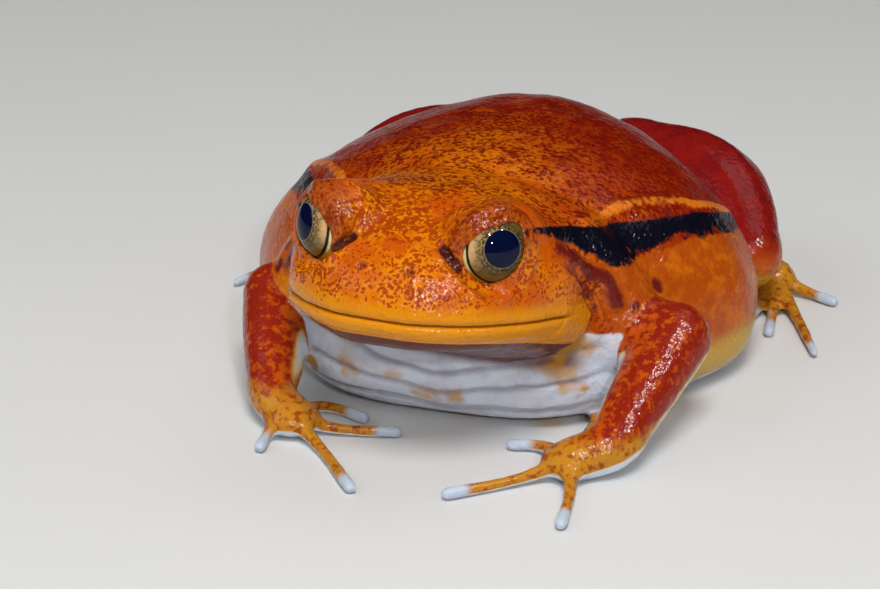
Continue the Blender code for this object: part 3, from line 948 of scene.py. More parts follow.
@dataclass
class Face:
    """The forms of the face, in the plan of the head.

    Attributes:
        mouth_front: height of the mouth's line at the snout.
        mouth_corner: height of the mouth's line at its corners.
        mouth_centre_y: y of the middle about which the mouth is bent.
        mouth_span: half the angle that the mouth takes, in radians.
        nostril: the middle of the left nostril.
        pit: the track of the pit before the left eye.
        pit_sink: from the bottom of the pit up to its track.
        canthus: the track of the ridge from the snout to the eye.
        jaw_fold: the track of the fold behind the corner of the jaw.
        jaw_line: the track of the crease under the mouth's corner.
        snout: the middle of the freckles on the snout.
        cheek: the middle of the freckles on the cheek.
        lip_depth: height of the lower lip at the snout.
        lip_spread: how much higher it is at the corners.
        lid_reach: distances from the eye's centre between which the lids let go of it.
        lid_limit: angle from the way the eye looks beyond which the lids end, in degrees.
        lid_edge_share: thickness left to the lids at their rims.
        lid_taper: angle over which they reach their full thickness, in degrees.
    """

    eyes: dict[Side, Eye]
    mouth_front: float = 19.6
    mouth_corner: float = 16.5
    mouth_centre_y: float = -30.2
    mouth_span: float = math.radians(95)
    nostril: tuple[float, float, float] = (2.85, -42.75, 24.6)
    pit: Track = ((5.5, -39.6, 26.6), (6.9, -40.5, 25.9), (8.3, -40.9, 25.0))
    pit_sink: tuple[float, float, float] = (0.18, -0.48, 0.30)
    canthus: Track = ((4.9, -39.9, 26.6), (6.6, -41.2, 25.3), (8.3, -41.5, 24.1), (10.6, -40.4, 23.2))
    jaw_fold: Track = ((18.3, -24.4, 14.4), (17.6, -25.0, 12.8), (16.4, -26.9, 12.0), (14.3, -29.4, 11.3))
    jaw_line: Track = ((16.9, -30.8, 16.9), (16.3, -32.0, 15.4), (15.0, -33.8, 15.0), (13.4, -36.0, 15.3))
    snout: tuple[float, float, float] = (6.2, -42.6, 22.6)
    cheek: tuple[float, float, float] = (13.4, -36.6, 21.5)
    lip_depth: float = 1.8
    lip_spread: float = 1.5
    lid_reach: tuple[float, float] = (7.0, 5.3)
    lid_limit: float = 105.0
    lid_edge_share: float = 0.34
    lid_taper: float = 26.0

    def mouth(self, at: Sample) -> tuple[np.ndarray, np.ndarray]:
        """How each corner lies to the mouth's line.

        Args:
            at: the skin's corners.

        Returns:
            The height above the line, and 1 along the mouth, falling to 0 beyond its corners.
        """
        angle = np.arctan2(np.abs(at.head[:, 0]), -(at.head[:, 1] - self.mouth_centre_y))
        share = angle / self.mouth_span
        height = self.mouth_front + (self.mouth_corner - self.mouth_front) * share * share
        reach = np.hypot(at.head[:, 0], at.head[:, 1] - self.mouth_centre_y)
        along = smooth_step(1.01, 0.90, share) * smooth_step(7.5, 10.5, reach) * at.trunk
        return at.head[:, 2] - height, along

    def lift(self, at: Sample) -> np.ndarray:
        """The lips, the nostrils, the pits before the eyes and the ridges of the snout.

        Args:
            at: the skin's corners.

        Returns:
            How far each corner moves outwards, in millimetres.
        """
        above, along = self.mouth(at)
        lips = -0.44 * bell(above, 0.15) + 0.10 * bell(above - 0.7, 0.5) + 0.22 * bell(above + 0.6, 0.5)
        lips -= 0.36 * bell(self.below_lip(at) - 0.5, 0.7)
        folds = (
            Fold(self.jaw_fold, 0.22, 0.7, aside=1.2),
            Fold(self.jaw_fold, -0.50, 0.42),
            Fold(self.jaw_line, -0.20, 0.35),
            Fold(self.pit, -0.75, 0.45),
            Fold(self.canthus, 0.30, 0.55),
        )
        gap = np.linalg.norm(at.side_head - np.array(self.nostril), axis=1)
        nostrils = 0.24 * bell(gap - 0.85, 0.35) - 0.75 * bell(gap, 0.38)
        return along * lips + nostrils + sum(fold.lift(at.side_head) for fold in folds) * at.trunk

    def below_lip(self, at: Sample) -> np.ndarray:
        """How far each corner lies below the lower edge of the lower lip, in millimetres."""
        above, _ = self.mouth(at)
        angle = np.arctan2(np.abs(at.head[:, 0]), -(at.head[:, 1] - self.mouth_centre_y))
        share = np.clip(angle / self.mouth_span, 0.0, 1.0)
        return -above - self.lip_depth - self.lip_spread * share * share

    def lid_lift(self, at: Sample) -> np.ndarray:
        """The rims of the lids and the crease above them.

        Args:
            at: the skin's corners.

        Returns:
            How far each corner moves outwards, in millimetres.
        """
        lift = np.zeros(len(at.head))
        for eye in self.eyes.values():
            own = eye.own_places(at.head)
            distance = np.linalg.norm(own, axis=1)
            angle = np.arccos(np.clip(own[:, 2] / np.maximum(distance, 0.01), -1.0, 1.0))
            past = (angle - eye.lid_edge(np.arctan2(own[:, 1], own[:, 0]))) * eye.radius
            near = smooth_step(8.6, 6.6, distance) * smooth_step(4.35, 4.6, distance)
            upper = smooth_step(-1.5, 1.5, own[:, 1])
            rim, below = 0.20 * bell(past - 0.45, 0.35), 0.22 * bell(past - 1.25, 0.35)
            crease = 0.14 * bell(past - 4.3, 0.4)
            lift += near * (rim - below * (1.0 - upper) - crease * upper)
        return lift

    def close_lids(self, head: np.ndarray) -> np.ndarray:
        """Draws the lids over the eyeballs to the edge that they keep, and thins them there.

        Args:
            head: corners in the plan of the head.

        Returns:
            The corners' new places.
        """
        moved = head.copy()
        for eye in self.eyes.values():
            own = eye.own_places(moved)
            distance = np.linalg.norm(own, axis=1)
            safe = np.maximum(distance, 0.01)
            angle = np.arccos(np.clip(own[:, 2] / safe, -1.0, 1.0))
            turn = np.arctan2(own[:, 1], own[:, 0])
            rim = np.arcsin(np.clip(eye.opening / np.maximum(safe, eye.opening + 0.05), 0.0, 1.0))
            limit = math.radians(self.lid_limit)
            edge = eye.lid_edge(turn)
            past = np.maximum(angle - rim, 0.0)
            wanted = edge + past * (limit - edge) / (limit - rim)
            share = smooth_step(*self.lid_reach, distance) * (angle < limit) * (distance > 1.0)
            new_angle = angle + (wanted - angle) * share
            full = smooth_step(0.0, math.radians(self.lid_taper), past)
            thick = self.lid_edge_share + (1.0 - self.lid_edge_share) * full
            skin = np.maximum(distance - eye.radius, 0.0)
            new_distance = distance + (eye.radius + skin * thick - distance) * share
            ring = np.sin(new_angle) * new_distance
            depth = np.cos(new_angle) * new_distance
            placed = np.stack((ring * np.cos(turn), ring * np.sin(turn), depth), axis=1)
            back = placed @ np.array(eye.own_axes()).T + np.array(eye.centre_in_plan())
            moved = np.where((share > 0.0)[:, None], back, moved)
        return moved

    def lid_ring(self, head: np.ndarray) -> np.ndarray:
        """The skin round the lids, beyond their rims.

        Args:
            head: corners in the plan of the head.

        Returns:
            1 on the ring and 0 beyond it.
        """
        ring = np.zeros(len(head))
        for eye in self.eyes.values():
            distance = np.linalg.norm(eye.own_places(head), axis=1)
            ring = np.maximum(ring, smooth_step(5.5, 6.1, distance) * smooth_step(9.5, 8.0, distance))
        return ring

    def clear_of_eyes(self, head: np.ndarray) -> np.ndarray:
        """Keeps the skin just off the eyeballs.

        Args:
            head: corners in the plan of the head.

        Returns:
            The corners' new places.
        """
        moved = head.copy()
        for eye in self.eyes.values():
            centre = np.array(eye.centre_in_plan())
            reach = moved - centre
            distance = np.linalg.norm(reach, axis=1)
            least = eye.radius + 0.05
            short = (distance < least) & (distance > 1.0)
            moved[short] = centre + reach[short] / distance[short, None] * least
        return moved

    def marks(self, at: Sample) -> dict[str, np.ndarray]:
        """The fields that the colours of the face follow.

        Args:
            at: the skin's corners.

        Returns:
            The fields by name.
        """
        above, along = self.mouth(at)
        y, z = at.head[:, 1], at.head[:, 2]
        face = smooth_step(-25.5, -31.5, y) * at.trunk
        below = self.below_lip(at)
        jaw = smooth_step(-23.0, -27.0, y) * smooth_step(2.6, 0.8, above) * smooth_step(0.9, 0.1, below)
        lip = smooth_step(2.8, 0.9, above) * smooth_step(0.5, 0.0, below)
        fold, _ = track_distance(at.side_head, self.jaw_fold)
        spotty = bell(np.linalg.norm(at.side_head - np.array(self.snout), axis=1), 5.0)
        spotty = np.maximum(spotty, bell(np.linalg.norm(at.side_head - np.array(self.cheek), axis=1), 4.0))
        lid = np.zeros(len(at.head))
        for eye in self.eyes.values():
            own = eye.own_places(at.head)
            distance = np.linalg.norm(own, axis=1)
            fore = smooth_step(-0.5, 2.6, own[:, 2])
            upper = smooth_step(-1.8, 0.8, own[:, 1])
            lid = np.maximum(lid, smooth_step(7.0, 5.6, distance) * upper * fore)
        pit, _ = track_distance(at.side_head + np.array(self.pit_sink), self.pit)
        hole = np.linalg.norm(at.side_head - np.array(self.nostril), axis=1)
        return {
            "head": np.maximum(face, jaw * at.trunk),
            "lip": np.maximum(lip * face, jaw),
            "spotty": spotty,
            "crown": smooth_step(-41.5, -36.5, y) * bell(at.head[:, 0], 10.0) * smooth_step(24.0, 26.5, z),
            # Painted shade: the groove of the fold behind the jaw, darkened in the colour.
            "jaw_fold": bell(fold, 0.28) * at.trunk,
            "lid": lid * at.trunk,
            # gape and mouth also mask the painted shade of the mouth's line.
            "gape": np.clip(above, -4.0, 4.0),
            "mouth": along,
            # Painted shade: the pits before the eyes and the nostrils are darkened.
            "pit": np.maximum(0.95 * smooth_step(0.80, 0.45, pit), 0.85 * bell(hole, 0.45)) * at.trunk,
        }


@dataclass
class Trunk:
    """The forms of the body, in its plan, given for the left side and mirrored.

    Attributes:
        fold: the track of the ridge along the back.
        drum: the track of the ridge behind the cheek.
        cheek: the track of the groove behind the cheek.
        spots: places and sizes of the maroon spots on the flank.
        stripe_top: y and z of the upper edge of the black stripe.
        stripe_low: y and z of its lower edge.
        stripe_ends: y where it starts and where it ends.
        wrinkles: heights of the wrinkles across the chest.
    """

    fold: Track = (
        (13.4, -31.5, 27.2),
        (15.0, -22.5, 25.3),
        (17.4, -12.8, 23.8),
        (20.9, -6.8, 22.8),
        (24.6, -2.3, 21.4),
        (27.2, 4.0, 18.9),
        (28.0, 10.0, 16.0),
    )
    drum: Track = ((14.3, -29.6, 24.0), (16.4, -26.9, 21.9), (19.0, -24.3, 19.2), (20.2, -23.8, 16.4))
    cheek: Track = (
        (13.6, -31.2, 24.3),
        (15.4, -29.0, 21.6),
        (17.2, -27.0, 18.6),
        (18.3, -25.7, 15.4),
        (17.9, -26.0, 13.0),
        (14.1, -28.4, 10.4),
    )
    spots: tuple[tuple[float, float, float, float], ...] = (
        (22.4, -22.6, 15.0, 1.1),
        (21.4, -22.4, 17.8, 0.55),
        (23.2, -16.4, 15.9, 0.8),
    )
    stripe_top: tuple[tuple[float, float], ...] = (
        (-36.6, 28.9),
        (-34.5, 28.2),
        (-29.0, 26.5),
        (-24.0, 25.0),
        (-17.9, 23.2),
        (-10.5, 22.0),
        (-4.1, 21.1),
        (3.4, 18.8),
        (13.0, 14.8),
    )
    stripe_low: tuple[tuple[float, float], ...] = (
        (-36.6, 28.3),
        (-34.5, 27.5),
        (-31.0, 26.4),
        (-28.9, 25.6),
        (-24.8, 22.7),
        (-23.2, 20.6),
        (-20.3, 19.6),
        (-13.6, 19.3),
        (-8.1, 19.5),
        (-4.5, 18.8),
        (3.1, 16.8),
        (13.0, 14.4),
    )
    stripe_ends: tuple[float, float] = (-36.4, 11.0)
    wrinkles: tuple[float, ...] = (2.9, 5.4, 8.0)

    def chest_lines(self, at: Sample) -> np.ndarray:
        """The wrinkles that run across the chest.

        Args:
            at: the skin's corners.

        Returns:
            1 in the bottom of a wrinkle, 0 beyond it.
        """
        z, across = at.body[:, 2], at.side[:, 0]
        drift = noise_field(at.body, 9.0, 3.1) * 0.9 + noise_field(at.body, 3.0, 7.7) * 0.25
        lines = np.zeros(len(z))
        for order, level in enumerate(self.wrinkles):
            gap = z - level - drift - (0.06 + 0.06 * order) * across + 0.6
            lines = np.maximum(lines, bell(gap, 0.34) * smooth_step(22.0, 13.0 + 2.0 * order, across))
        chest = smooth_step(-20.5, -24.0, at.body[:, 1]) * smooth_step(11.5, 9.5, z)
        return lines * chest * at.trunk

    def lift(self, at: Sample) -> np.ndarray:
        """The fold along the back, the ridges behind the cheek and the wrinkles of the chest.

        Args:
            at: the skin's corners.

        Returns:
            How far each corner moves outwards, in millimetres.
        """
        fold, along = track_distance(at.side, self.fold)
        lift = 0.42 * bell(fold, 1.2) * smooth_step(0.0, 0.15, along) * smooth_step(1.0, 0.8, along)
        drum, past = track_distance(at.side, self.drum)
        begun = smooth_step(0.0, 0.22, past)
        lift += (0.24 * bell(drum, 0.8) - 0.40 * bell(drum - 1.7, 0.5)) * begun
        cheek, past = track_distance(at.side, self.cheek)
        lift -= 0.60 * bell(cheek, 0.5) * smooth_step(0.0, 0.12, past) * smooth_step(0.95, 0.75, past)
        lift -= 0.45 * self.chest_lines(at)
        lift += 0.16 * noise_field(at.body, 4.2, 9.0) * smooth_step(10.0, 16.0, at.body[:, 2])
        return lift * at.trunk + 0.045 * noise_field(at.body, 1.1, 5.0)

    def marks(self, at: Sample, below_lip: np.ndarray) -> dict[str, np.ndarray]:
        """The fields that the colours of the body follow.

        Args:
            at: the skin's corners.
            below_lip: how far they lie below the lower lip.

        Returns:
            The fields by name.
        """
        across, y, z = at.side[:, 0], at.body[:, 1], at.body[:, 2]
        under = smooth_step(-0.45, -0.85, at.normals[:, 2]) * smooth_step(4.2, 2.0, z)
        chest = smooth_step(-19.0, -23.5, y) * smooth_step(13.4, 11.9, z)
        jowl = smooth_step(0.1, 0.6, below_lip) * smooth_step(-24.0, -28.0, y)
        jowl *= smooth_step(0.45, 0.2, at.normals[:, 2])
        top = np.interp(y, *zip(*self.stripe_top))
        low = np.interp(y, *zip(*self.stripe_low))
        start, end = self.stripe_ends
        ends = np.minimum(y - start, end - y)
        inside = np.minimum(across - 10.0, ends)
        drum, _ = track_distance(at.side, self.drum)
        cheek, along = track_distance(at.side, self.cheek)
        bands = np.maximum(0.85 - drum, (0.40 - cheek) - 3.0 * smooth_step(0.6, 0.8, along))
        for x, spot_y, spot_z, size in self.spots:
            gap = np.linalg.norm(at.side - np.array((x, spot_y, spot_z)), axis=1)
            bands = np.maximum(bands, size - gap)
        fold, _ = track_distance(at.side, self.fold)
        outside = -4.0 * at.limb
        return {
            "rump": smooth_step(-30.0, 12.0, y + 0.5 * across) * at.trunk,
            "flank": smooth_step(0.6, -1.0, z - low) * smooth_step(-27.0, -22.5, y) * at.trunk,
            "low_flank": smooth_step(11.0, 4.0, z),
            "belly": np.clip(np.maximum.reduce([under, chest, jowl]), 0.0, 1.0) * at.trunk,
            # Painted shade: the band under the lower jaw where the skin is darkened.
            "throat_shade": smooth_step(8.8, 10.8, z + 0.10 * at.body[:, 0]) * smooth_step(-24.5, -27.5, y),
            "patches": smooth_step(8.0, 5.0, z) + 0.8 * smooth_step(9.0, 15.0, across),
            # Painted shade: where the bottoms of the chest's wrinkles are darkened.
            "mauve_and_furrow_shade": self.chest_lines(at),
            "stripe_top": np.clip(np.minimum(top - z, inside), -3.0, 3.0) + outside,
            "stripe_low": np.clip(np.minimum(z - low, inside), -3.0, 3.0) + outside,
            "maroon": np.clip(bands, -3.0, 3.0) + outside,
            "ridge": bell(fold, 0.9) * smooth_step(-24.0, -14.0, y) * at.trunk,
        }


@dataclass
class Limbs:
    """The hands and feet, in the plan of the body.

    Attributes:
        palms: the middles of the palms and soles.
        finger_tips: the tips of the fingers of both hands.
        toe_tips: the tips of the left foot's toes, which are mirrored.
        white_length: how far the whitish tips reach.
    """

    palms: Track = ((18.6, -37.6, 2.0), (-15.4, -36.2, 2.0), (30.2, 26.0, 2.0), (-30.2, 26.0, 2.0))
    finger_tips: Track = (
        (18.1, -20.9, 0.9),
        (10.4, -32.8, 0.9),
        (7.1, -47.3, 0.9),
        (21.0, -50.4, 0.9),
        (-8.2, -31.2, 0.9),
        (-3.4, -33.6, 0.9),
        (-3.5, -49.2, 0.9),
        (-17.0, -42.4, 0.9),
    )
    toe_tips: Track = (
        (27.0, 17.0, 0.9),
        (29.2, 14.0, 0.9),
        (32.4, 10.0, 0.9),
        (39.2, 4.8, 0.9),
        (38.6, 23.0, 0.9),
    )
    white_length: float = 2.3

    def digits(self, at: Sample) -> np.ndarray:
        """How near each corner is to a hand or foot.

        Args:
            at: the skin's corners.

        Returns:
            1 in a palm or sole and beyond, 0 well up the limb.
        """
        share = np.zeros(len(at.body))
        for palm in self.palms:
            gap = np.linalg.norm((at.body - np.array(palm))[:, :2], axis=1)
            share = np.maximum(share, smooth_step(20.0, 17.0, gap))
        return share * smooth_step(7.5, 3.5, at.body[:, 2]) * at.limb

    def marks(self, at: Sample) -> dict[str, np.ndarray]:
        """The fields that the colours of the limbs follow.

        Args:
            at: the skin's corners.

        Returns:
            The fields by name.
        """
        tip = np.full(len(at.body), 99.0)
        toes = self.toe_tips + tuple((-x, y, z) for x, y, z in self.toe_tips)
        for spot in self.finger_tips + toes:
            tip = np.minimum(tip, np.linalg.norm(at.body - np.array(spot), axis=1))
        outward = at.normals[:, 0] * np.sign(at.body[:, 0])
        digits = self.digits(at)
        rise = at.normals[:, 2]
        inner = smooth_step(-0.12, -0.65, outward * 0.75 + rise * 0.45 - at.normals[:, 1] * 0.1)
        below = smooth_step(-0.05, -0.6, rise)
        shade = np.maximum(inner * (1.0 - digits), below)
        return {
            "limb": at.limb,
            "leg": at.leg,
            "digit": digits,
            "outer": smooth_step(-0.2, 0.8, outward + 0.5 * rise),
            "inner": shade * (1.0 - 0.7 * at.leg),
            "shin": smooth_step(14.5, 5.0, at.body[:, 2]) * smooth_step(22.0, 26.5, at.side[:, 0]) * at.leg,
            "tip": np.clip(self.white_length - tip, -3.0, 3.0),
        }


@dataclass
class Skin:
    """The skin that stands for every node of flesh.

    Attributes:
        plan: the plan of the frog.
        face: the forms of the face.
        trunk: the forms of the body.
        limbs: the hands and feet.
        seal: how far the nodes are swollen so that they meet, in millimetres.
        voxel: size of the faces after melting, in millimetres.
        triangles: the most triangles that the skin keeps.
        broad_rounds: rounds of smoothing of the broad forms.
        fine_rounds: rounds of smoothing everywhere.
        fresh_rounds: rounds of smoothing of split faces.
        ring_rounds: rounds of smoothing round the lids.
        steps: how many strengths of smoothing there are.
    """

    plan: Plan
    face: Face
    trunk: Trunk = field(default_factory=Trunk)
    limbs: Limbs = field(default_factory=Limbs)
    seal: float = 0.24
    voxel: float = 0.34
    triangles: int = 190000
    broad_rounds: int = 36
    fine_rounds: int = 5
    fresh_rounds: int = 3
    ring_rounds: int = 14
    steps: int = 8

    def flesh(self) -> list[str]:
        """The nodes that the skin stands for."""
        return [name for region in Region for name in region.nodes()]

    def swollen(self, name: str) -> bpy.types.Mesh:
        """A copy of a node, welded and swollen so that it meets its neighbours.

        Args:
            name: the node.

        Returns:
            The copy's mesh.
        """
        copy = bmesh.new()
        copy.from_mesh(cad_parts[name].data)
        bmesh.ops.remove_doubles(copy, verts=copy.verts, dist=1e-6)
        copy.normal_update()
        for vert in copy.verts:
            vert.co += vert.normal * self.seal * MM
        mesh = bpy.data.meshes.new(name + "_flesh")
        copy.to_mesh(mesh)
        copy.free()
        return mesh

    def melted(self) -> bpy.types.Object:
        """Joins the nodes of flesh and melts them into one skin of even faces.

        Returns:
            The skin before it is smoothed.
        """
        whole = bmesh.new()
        for name in self.flesh():
            whole.from_mesh(self.swollen(name))
        mesh = bpy.data.meshes.new("frog_skin")
        whole.to_mesh(mesh)
        whole.free()
        skin = bpy.data.objects.new("frog_skin", mesh)
        bpy.context.scene.collection.objects.link(skin)
        remesh = skin.modifiers.new("melt", "REMESH")
        remesh.mode = "VOXEL"
        remesh.voxel_size = self.voxel * MM
        self.settle(skin)
        self.keep_largest(skin.data)
        return skin

    def settle(self, skin: bpy.types.Object) -> None:
        """Makes an object's modifiers real.

        Args:
            skin: the object, which keeps its name.
        """
        graph = bpy.context.evaluated_depsgraph_get()
        made = bpy.data.meshes.new_from_object(skin.evaluated_get(graph))
        skin.modifiers.clear()
        skin.data = made

    def keep_largest(self, mesh: bpy.types.Mesh) -> None:
        """Drops all but the largest closed surface.

        Args:
            mesh: the mesh to clean.
        """
        work = bmesh.new()
        work.from_mesh(mesh)
        unseen = set(work.verts)
        largest: list = []
        while unseen:
            stack = [unseen.pop()]
            group = []
            while stack:
                vert = stack.pop()
                group.append(vert)
                for edge in vert.link_edges:
                    other = edge.other_vert(vert)
                    if other in unseen:
                        unseen.remove(other)
                        stack.append(other)
            if len(group) > len(largest):
                largest = group
        kept = set(largest)
        bmesh.ops.delete(work, geom=[vert for vert in work.verts if vert not in kept], context="VERTS")
        work.to_mesh(mesh)
        work.free()

    def sample(self, mesh: bpy.types.Mesh) -> Sample:
        """Reads the corners, and finds the limbs by the nodes that lie nearest.

        Args:
            mesh: the skin.

        Returns:
            What is known of each corner.
        """
        gaps = {}
        for region in Region:
            flesh = bmesh.new()
            for name in region.nodes():
                flesh.from_mesh(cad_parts[name].data)
            tree = BVHTree.FromBMesh(flesh)
            flesh.free()
            gaps[region] = np.array([tree.find_nearest(vert.co)[3] for vert in mesh.vertices]) / MM
        arm = gaps[Region.BODY] - gaps[Region.ARMS]
        leg = gaps[Region.BODY] - gaps[Region.LEGS]
        body, head = self.plan.read(mesh)
        flat = np.zeros(len(mesh.vertices) * 3)
        mesh.vertex_normals.foreach_get("vector", flat)
        limb = smooth_step(-1.0, 1.4, np.maximum(arm, leg))
        return Sample(body, head, flat.reshape(-1, 3), limb, smooth_step(-1.0, 1.0, leg - arm))

    def detail(self, at: Sample) -> np.ndarray:
        """How finely each corner is kept when the skin is smoothed.

        Args:
            at: the skin's corners.

        Returns:
            0 where the form is broad and 1 where it is fine.
        """
        face = smooth_step(-27.0, -31.0, at.head[:, 1]) * smooth_step(10.0, 13.0, at.head[:, 2]) * at.trunk
        return np.clip(face + self.limbs.digits(at), 0.0, 1.0)

    def soften(self, skin: bpy.types.Object, weights: np.ndarray, rounds: int) -> None:
        """Smooths the skin where it is weighted.

        Args:
            skin: the skin.
            weights: 0 to leave a corner and 1 to smooth it fully.
            rounds: how many times it is smoothed.
        """
        group = skin.vertex_groups.new(name="soft")
        levels = np.round(weights * self.steps).astype(int)
        for level in range(1, self.steps + 1):
            group.add(np.nonzero(levels == level)[0].tolist(), level / self.steps, "REPLACE")
        soft = skin.modifiers.new("soft", "SMOOTH")
        soft.factor = 0.5
        soft.iterations = rounds
        soft.vertex_group = group.name
        self.settle(skin)
        skin.vertex_groups.clear()

    def refine(self, skin: bpy.types.Object) -> None:
        """Splits the faces of the face, and those of the lips and lids once more.

        Args:
            skin: the smoothed skin.
        """
        for narrow in (False, True):
            at = self.sample(skin.data)
            above, along = self.face.mouth(at)
            wanted = smooth_step(1.1, 0.7, np.abs(above)) * along
            lids = np.zeros(len(wanted))
            for eye in self.face.eyes.values():
                own = eye.own_places(at.head)
                distance = np.linalg.norm(own, axis=1)
                lids = np.maximum(lids, (distance < (6.0 if narrow else 8.0)) * (own[:, 2] > 0.5))
            wanted = np.maximum(wanted, lids)
            if not narrow:
                wanted = np.maximum(wanted, (at.head[:, 1] < -28.0) * (at.head[:, 2] > 13.0) * at.trunk)
            self.split(skin.data, wanted > 0.5)
            fresh = smooth_step(0.2, 0.8, wanted)
            added = len(skin.data.vertices) - len(fresh)
            self.soften(skin, np.pad(fresh, (0, added), constant_values=1.0), self.fresh_rounds)

    def split(self, mesh: bpy.types.Mesh, chosen: np.ndarray) -> None:
        """Splits the faces whose corners are all chosen.

        Args:
            mesh: the skin.
            chosen: which corners are chosen.
        """
        work = bmesh.new()
        work.from_mesh(mesh)
        work.verts.ensure_lookup_table()
        edges = [edge for edge in work.edges if chosen[edge.verts[0].index] and chosen[edge.verts[1].index]]
        bmesh.ops.subdivide_edges(work, edges=edges, cuts=1, use_grid_fill=True)
        work.to_mesh(mesh)
        work.free()

    def put(self, mesh: bpy.types.Mesh, body: np.ndarray) -> None:
        """Moves the corners to new places, none below the floor.

        Args:
            mesh: the skin.
            body: the new places in the plan of the body.
        """
        placed = (body + np.array(self.plan.shift())) * MM
        placed[:, 2] = np.maximum(placed[:, 2], 0.0)
        mesh.vertices.foreach_set("co", placed.ravel())
        mesh.update()

    def turned(self, head: np.ndarray) -> np.ndarray:
        """Places in the plan of the head, carried to that of the body."""
        forward = np.array(self.plan.head_matrix())
        return head @ forward[:3, :3].T + forward[:3, 3]

    def sculpt(self, skin: bpy.types.Object) -> None:
        """Draws the lids over the eyes, then raises and sinks the skin's forms.

        Args:
            skin: the refined skin.
        """
        mesh = skin.data
        _, head = self.plan.read(mesh)
        self.put(mesh, self.turned(self.face.close_lids(head)))
        _, head = self.plan.read(mesh)
        self.soften(skin, self.face.lid_ring(head), self.ring_rounds)
        mesh = skin.data
        at = self.sample(mesh)
        lift = self.face.lift(at) + self.face.lid_lift(at) + self.trunk.lift(at) - self.seal * 0.9
        raised = at.body + at.normals * lift[:, None]
        self.put(mesh, raised)
        _, head = self.plan.read(mesh)
        self.put(mesh, self.turned(self.face.clear_of_eyes(head)))

    def thinned(self, skin: bpy.types.Object) -> None:
        """Brings the skin to its number of triangles.

        Args:
            skin: the sculpted skin.
        """
        faces = sum(len(face.vertices) - 2 for face in skin.data.polygons)
        LOG.info("sculpted: %d triangles", faces)
        if faces > self.triangles:
            thin = skin.modifiers.new("thin", "DECIMATE")
            thin.ratio = self.triangles / faces
            self.settle(skin)
        skin.data.shade_smooth()

    def mark(self, mesh: bpy.types.Mesh) -> None:
        """Writes the fields that the skin's colours follow.

        Args:
            mesh: the finished skin.
        """
        at = self.sample(mesh)
        below = self.face.below_lip(at)
        marks = self.face.marks(at) | self.trunk.marks(at, below) | self.limbs.marks(at)
        marks["slick"] = np.clip(at.limb + marks["belly"], 0.0, 1.0)
        for name, values in marks.items():
            layer = mesh.attributes.new(name, "FLOAT", "POINT")
            layer.data.foreach_set("value", np.ascontiguousarray(values, dtype=np.float32))

    def build(self) -> bpy.types.Object:
        """Makes the skin.

        Returns:
            The skin, sculpted and marked.
        """
        skin = self.melted()
        LOG.info("melted: %d corners", len(skin.data.vertices))
        at = self.sample(skin.data)
        self.soften(skin, np.ones(len(at.body)), self.fine_rounds)
        self.soften(skin, 1.0 - self.detail(at), self.broad_rounds)
        self.refine(skin)
        self.sculpt(skin)
        self.thinned(skin)
        self.mark(skin.data)
        return skin

    def dress(self, skin: bpy.types.Object) -> None:
        """Gives the skin its finish and its place in the frame.

        Args:
            skin: the built skin.
        """
        skin.data.materials.clear()
        skin.data.materials.append(SkinFinish().material())
        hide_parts(*self.flesh())
        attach(skin, "root")


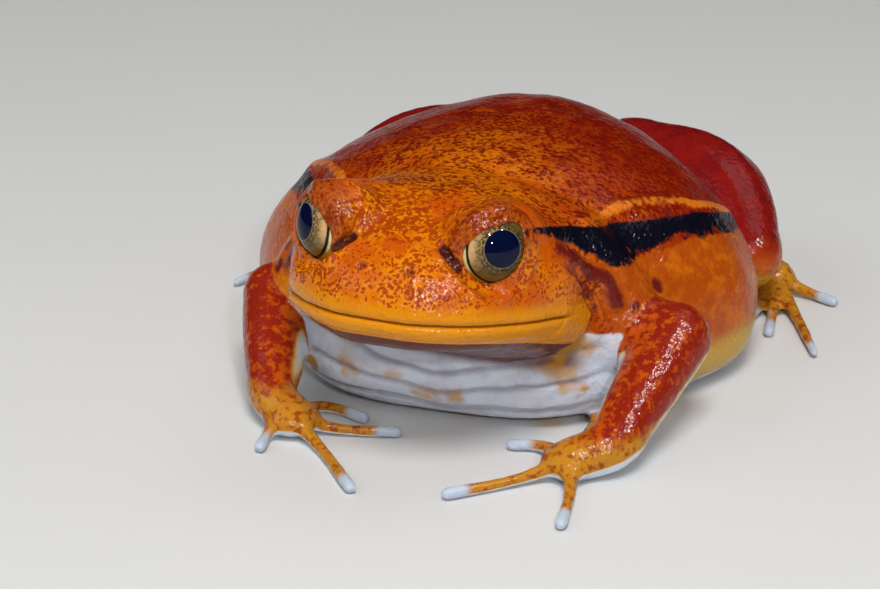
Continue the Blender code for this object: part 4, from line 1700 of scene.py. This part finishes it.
@dataclass
class Studio:
    """The pale floor, the soft lights and the camera.

    Attributes:
        plan: the plan of the frog.
        floor_size: width of the floor, in metres.
        camera_at: the camera's place in the plan.
        azimuth: the way from the frog to the camera, 0 in front, in degrees.
        elevation: the same above the floor, in degrees.
        roll: turn of the picture, in degrees.
        lens: focal length for a sensor of 36 mm.
        sky: the world's colour.
        world_strength: how bright the world is.
        lights: name, azimuth, elevation, distance, size and power of each lamp, in metres and watts.
        unmirrored: lamps that the wet surfaces do not mirror.
        glints: lamps that only they mirror.
    """

    plan: Plan
    floor_size: float = 4.0
    camera_at: tuple[float, float, float] = (79.72, -279.12, 121.4)
    azimuth: float = 17.59
    elevation: float = 21.75
    roll: float = 0.2
    lens: float = 100.0
    sky: tuple[float, float, float, float] = (1.0, 0.98, 0.96, 1.0)
    world_strength: float = 0.20
    lights: tuple[tuple[str, float, float, float, float, float], ...] = (
        ("key", 20.0, 58.0, 0.60, 0.22, 2.30),
        ("flash", 25.0, 27.0, 0.50, 0.03, 0.50),
        ("spark", 17.0, 49.0, 0.50, 0.022, 1.10),
        ("side", 79.0, 53.0, 0.50, 0.022, 1.10),
        ("fill", -55.0, 40.0, 0.70, 0.50, 0.9),
        ("rim", 150.0, 62.0, 0.70, 0.40, 0.45),
    )
    unmirrored: tuple[str, ...] = ("key",)
    glints: tuple[str, ...] = ("spark", "side")

    def direction(self, azimuth: float, elevation: float) -> Vector:
        """The way from the frog to a place round it.

        Args:
            azimuth: 0 in front and 90 on the left side of the frog, in degrees.
            elevation: above the floor, in degrees.

        Returns:
            A unit vector.
        """
        turn, rise = math.radians(azimuth), math.radians(elevation)
        return Vector((math.sin(turn) * math.cos(rise), -math.cos(turn) * math.cos(rise), math.sin(rise)))

    def floor(self) -> bpy.types.Object:
        """Makes the floor.

        Returns:
            The floor.
        """
        sheet = bmesh.new()
        bmesh.ops.create_grid(sheet, x_segments=8, y_segments=8, size=self.floor_size / 2)
        mesh = bpy.data.meshes.new("floor")
        sheet.to_mesh(mesh)
        sheet.free()
        mesh.materials.append(FloorFinish().material())
        piece = bpy.data.objects.new("floor", mesh)
        bpy.context.scene.collection.objects.link(piece)
        return piece

    def light(self) -> None:
        """Hangs the lamps and lights the world."""
        middle = Vector((0.0, 0.0, 0.012))
        for name, azimuth, elevation, distance, size, power in self.lights:
            lamp = bpy.data.lights.new(name, "AREA")
            lamp.shape = "DISK"
            lamp.size = size
            lamp.energy = power
            holder = bpy.data.objects.new(name, lamp)
            way = self.direction(azimuth, elevation)
            holder.location = middle + way * distance
            holder.rotation_euler = way.to_track_quat("Z", "Y").to_euler()
            holder.visible_glossy = name not in self.unmirrored
            holder.visible_diffuse = name not in self.glints
            bpy.context.scene.collection.objects.link(holder)
        world = bpy.data.worlds.new("studio")
        bpy.context.scene.world = world
        world.use_nodes = True
        sky = world.node_tree.nodes["Background"]
        sky.inputs["Color"].default_value = self.sky
        sky.inputs["Strength"].default_value = self.world_strength
        world.cycles_visibility.glossy = False
        bpy.context.scene.view_settings.view_transform = "Standard"

    def camera(self) -> bpy.types.Object:
        """Sets the camera at the photograph's viewing angle.

        Returns:
            The camera.
        """
        data = bpy.data.cameras.new("camera")
        data.lens = self.lens
        data.sensor_width = 36.0
        data.clip_start = 0.01
        holder = bpy.data.objects.new("camera", data)
        back = self.direction(self.azimuth, self.elevation)
        right = Vector((math.cos(math.radians(self.azimuth)), math.sin(math.radians(self.azimuth)), 0.0))
        turn = Matrix.Rotation(math.radians(self.roll), 3, back)
        right, up = turn @ right, turn @ back.cross(right)
        pose = Matrix((right, up, back)).transposed().to_4x4()
        pose.translation = self.plan.place(self.camera_at)
        holder.matrix_world = pose
        bpy.context.scene.collection.objects.link(holder)
        bpy.context.scene.camera = holder
        return holder


def main() -> None:
    """Builds the frog and the studio in order."""
    logging.basicConfig(level=logging.INFO, format="%(name)s: %(message)s")
    plan = Plan()
    studio = Studio(plan)
    studio.camera()
    eyes = {side: Eye(side, plan) for side in Side}
    for side, eye in eyes.items():
        eye.dress(eye.build())
        LOG.info("eye %s", side.label)
    skin = Skin(plan, Face(eyes))
    piece = skin.build()
    skin.dress(piece)
    LOG.info("skin: %d corners", len(piece.data.vertices))
    studio.floor()
    studio.light()


if __name__ == "__main__":
    main()
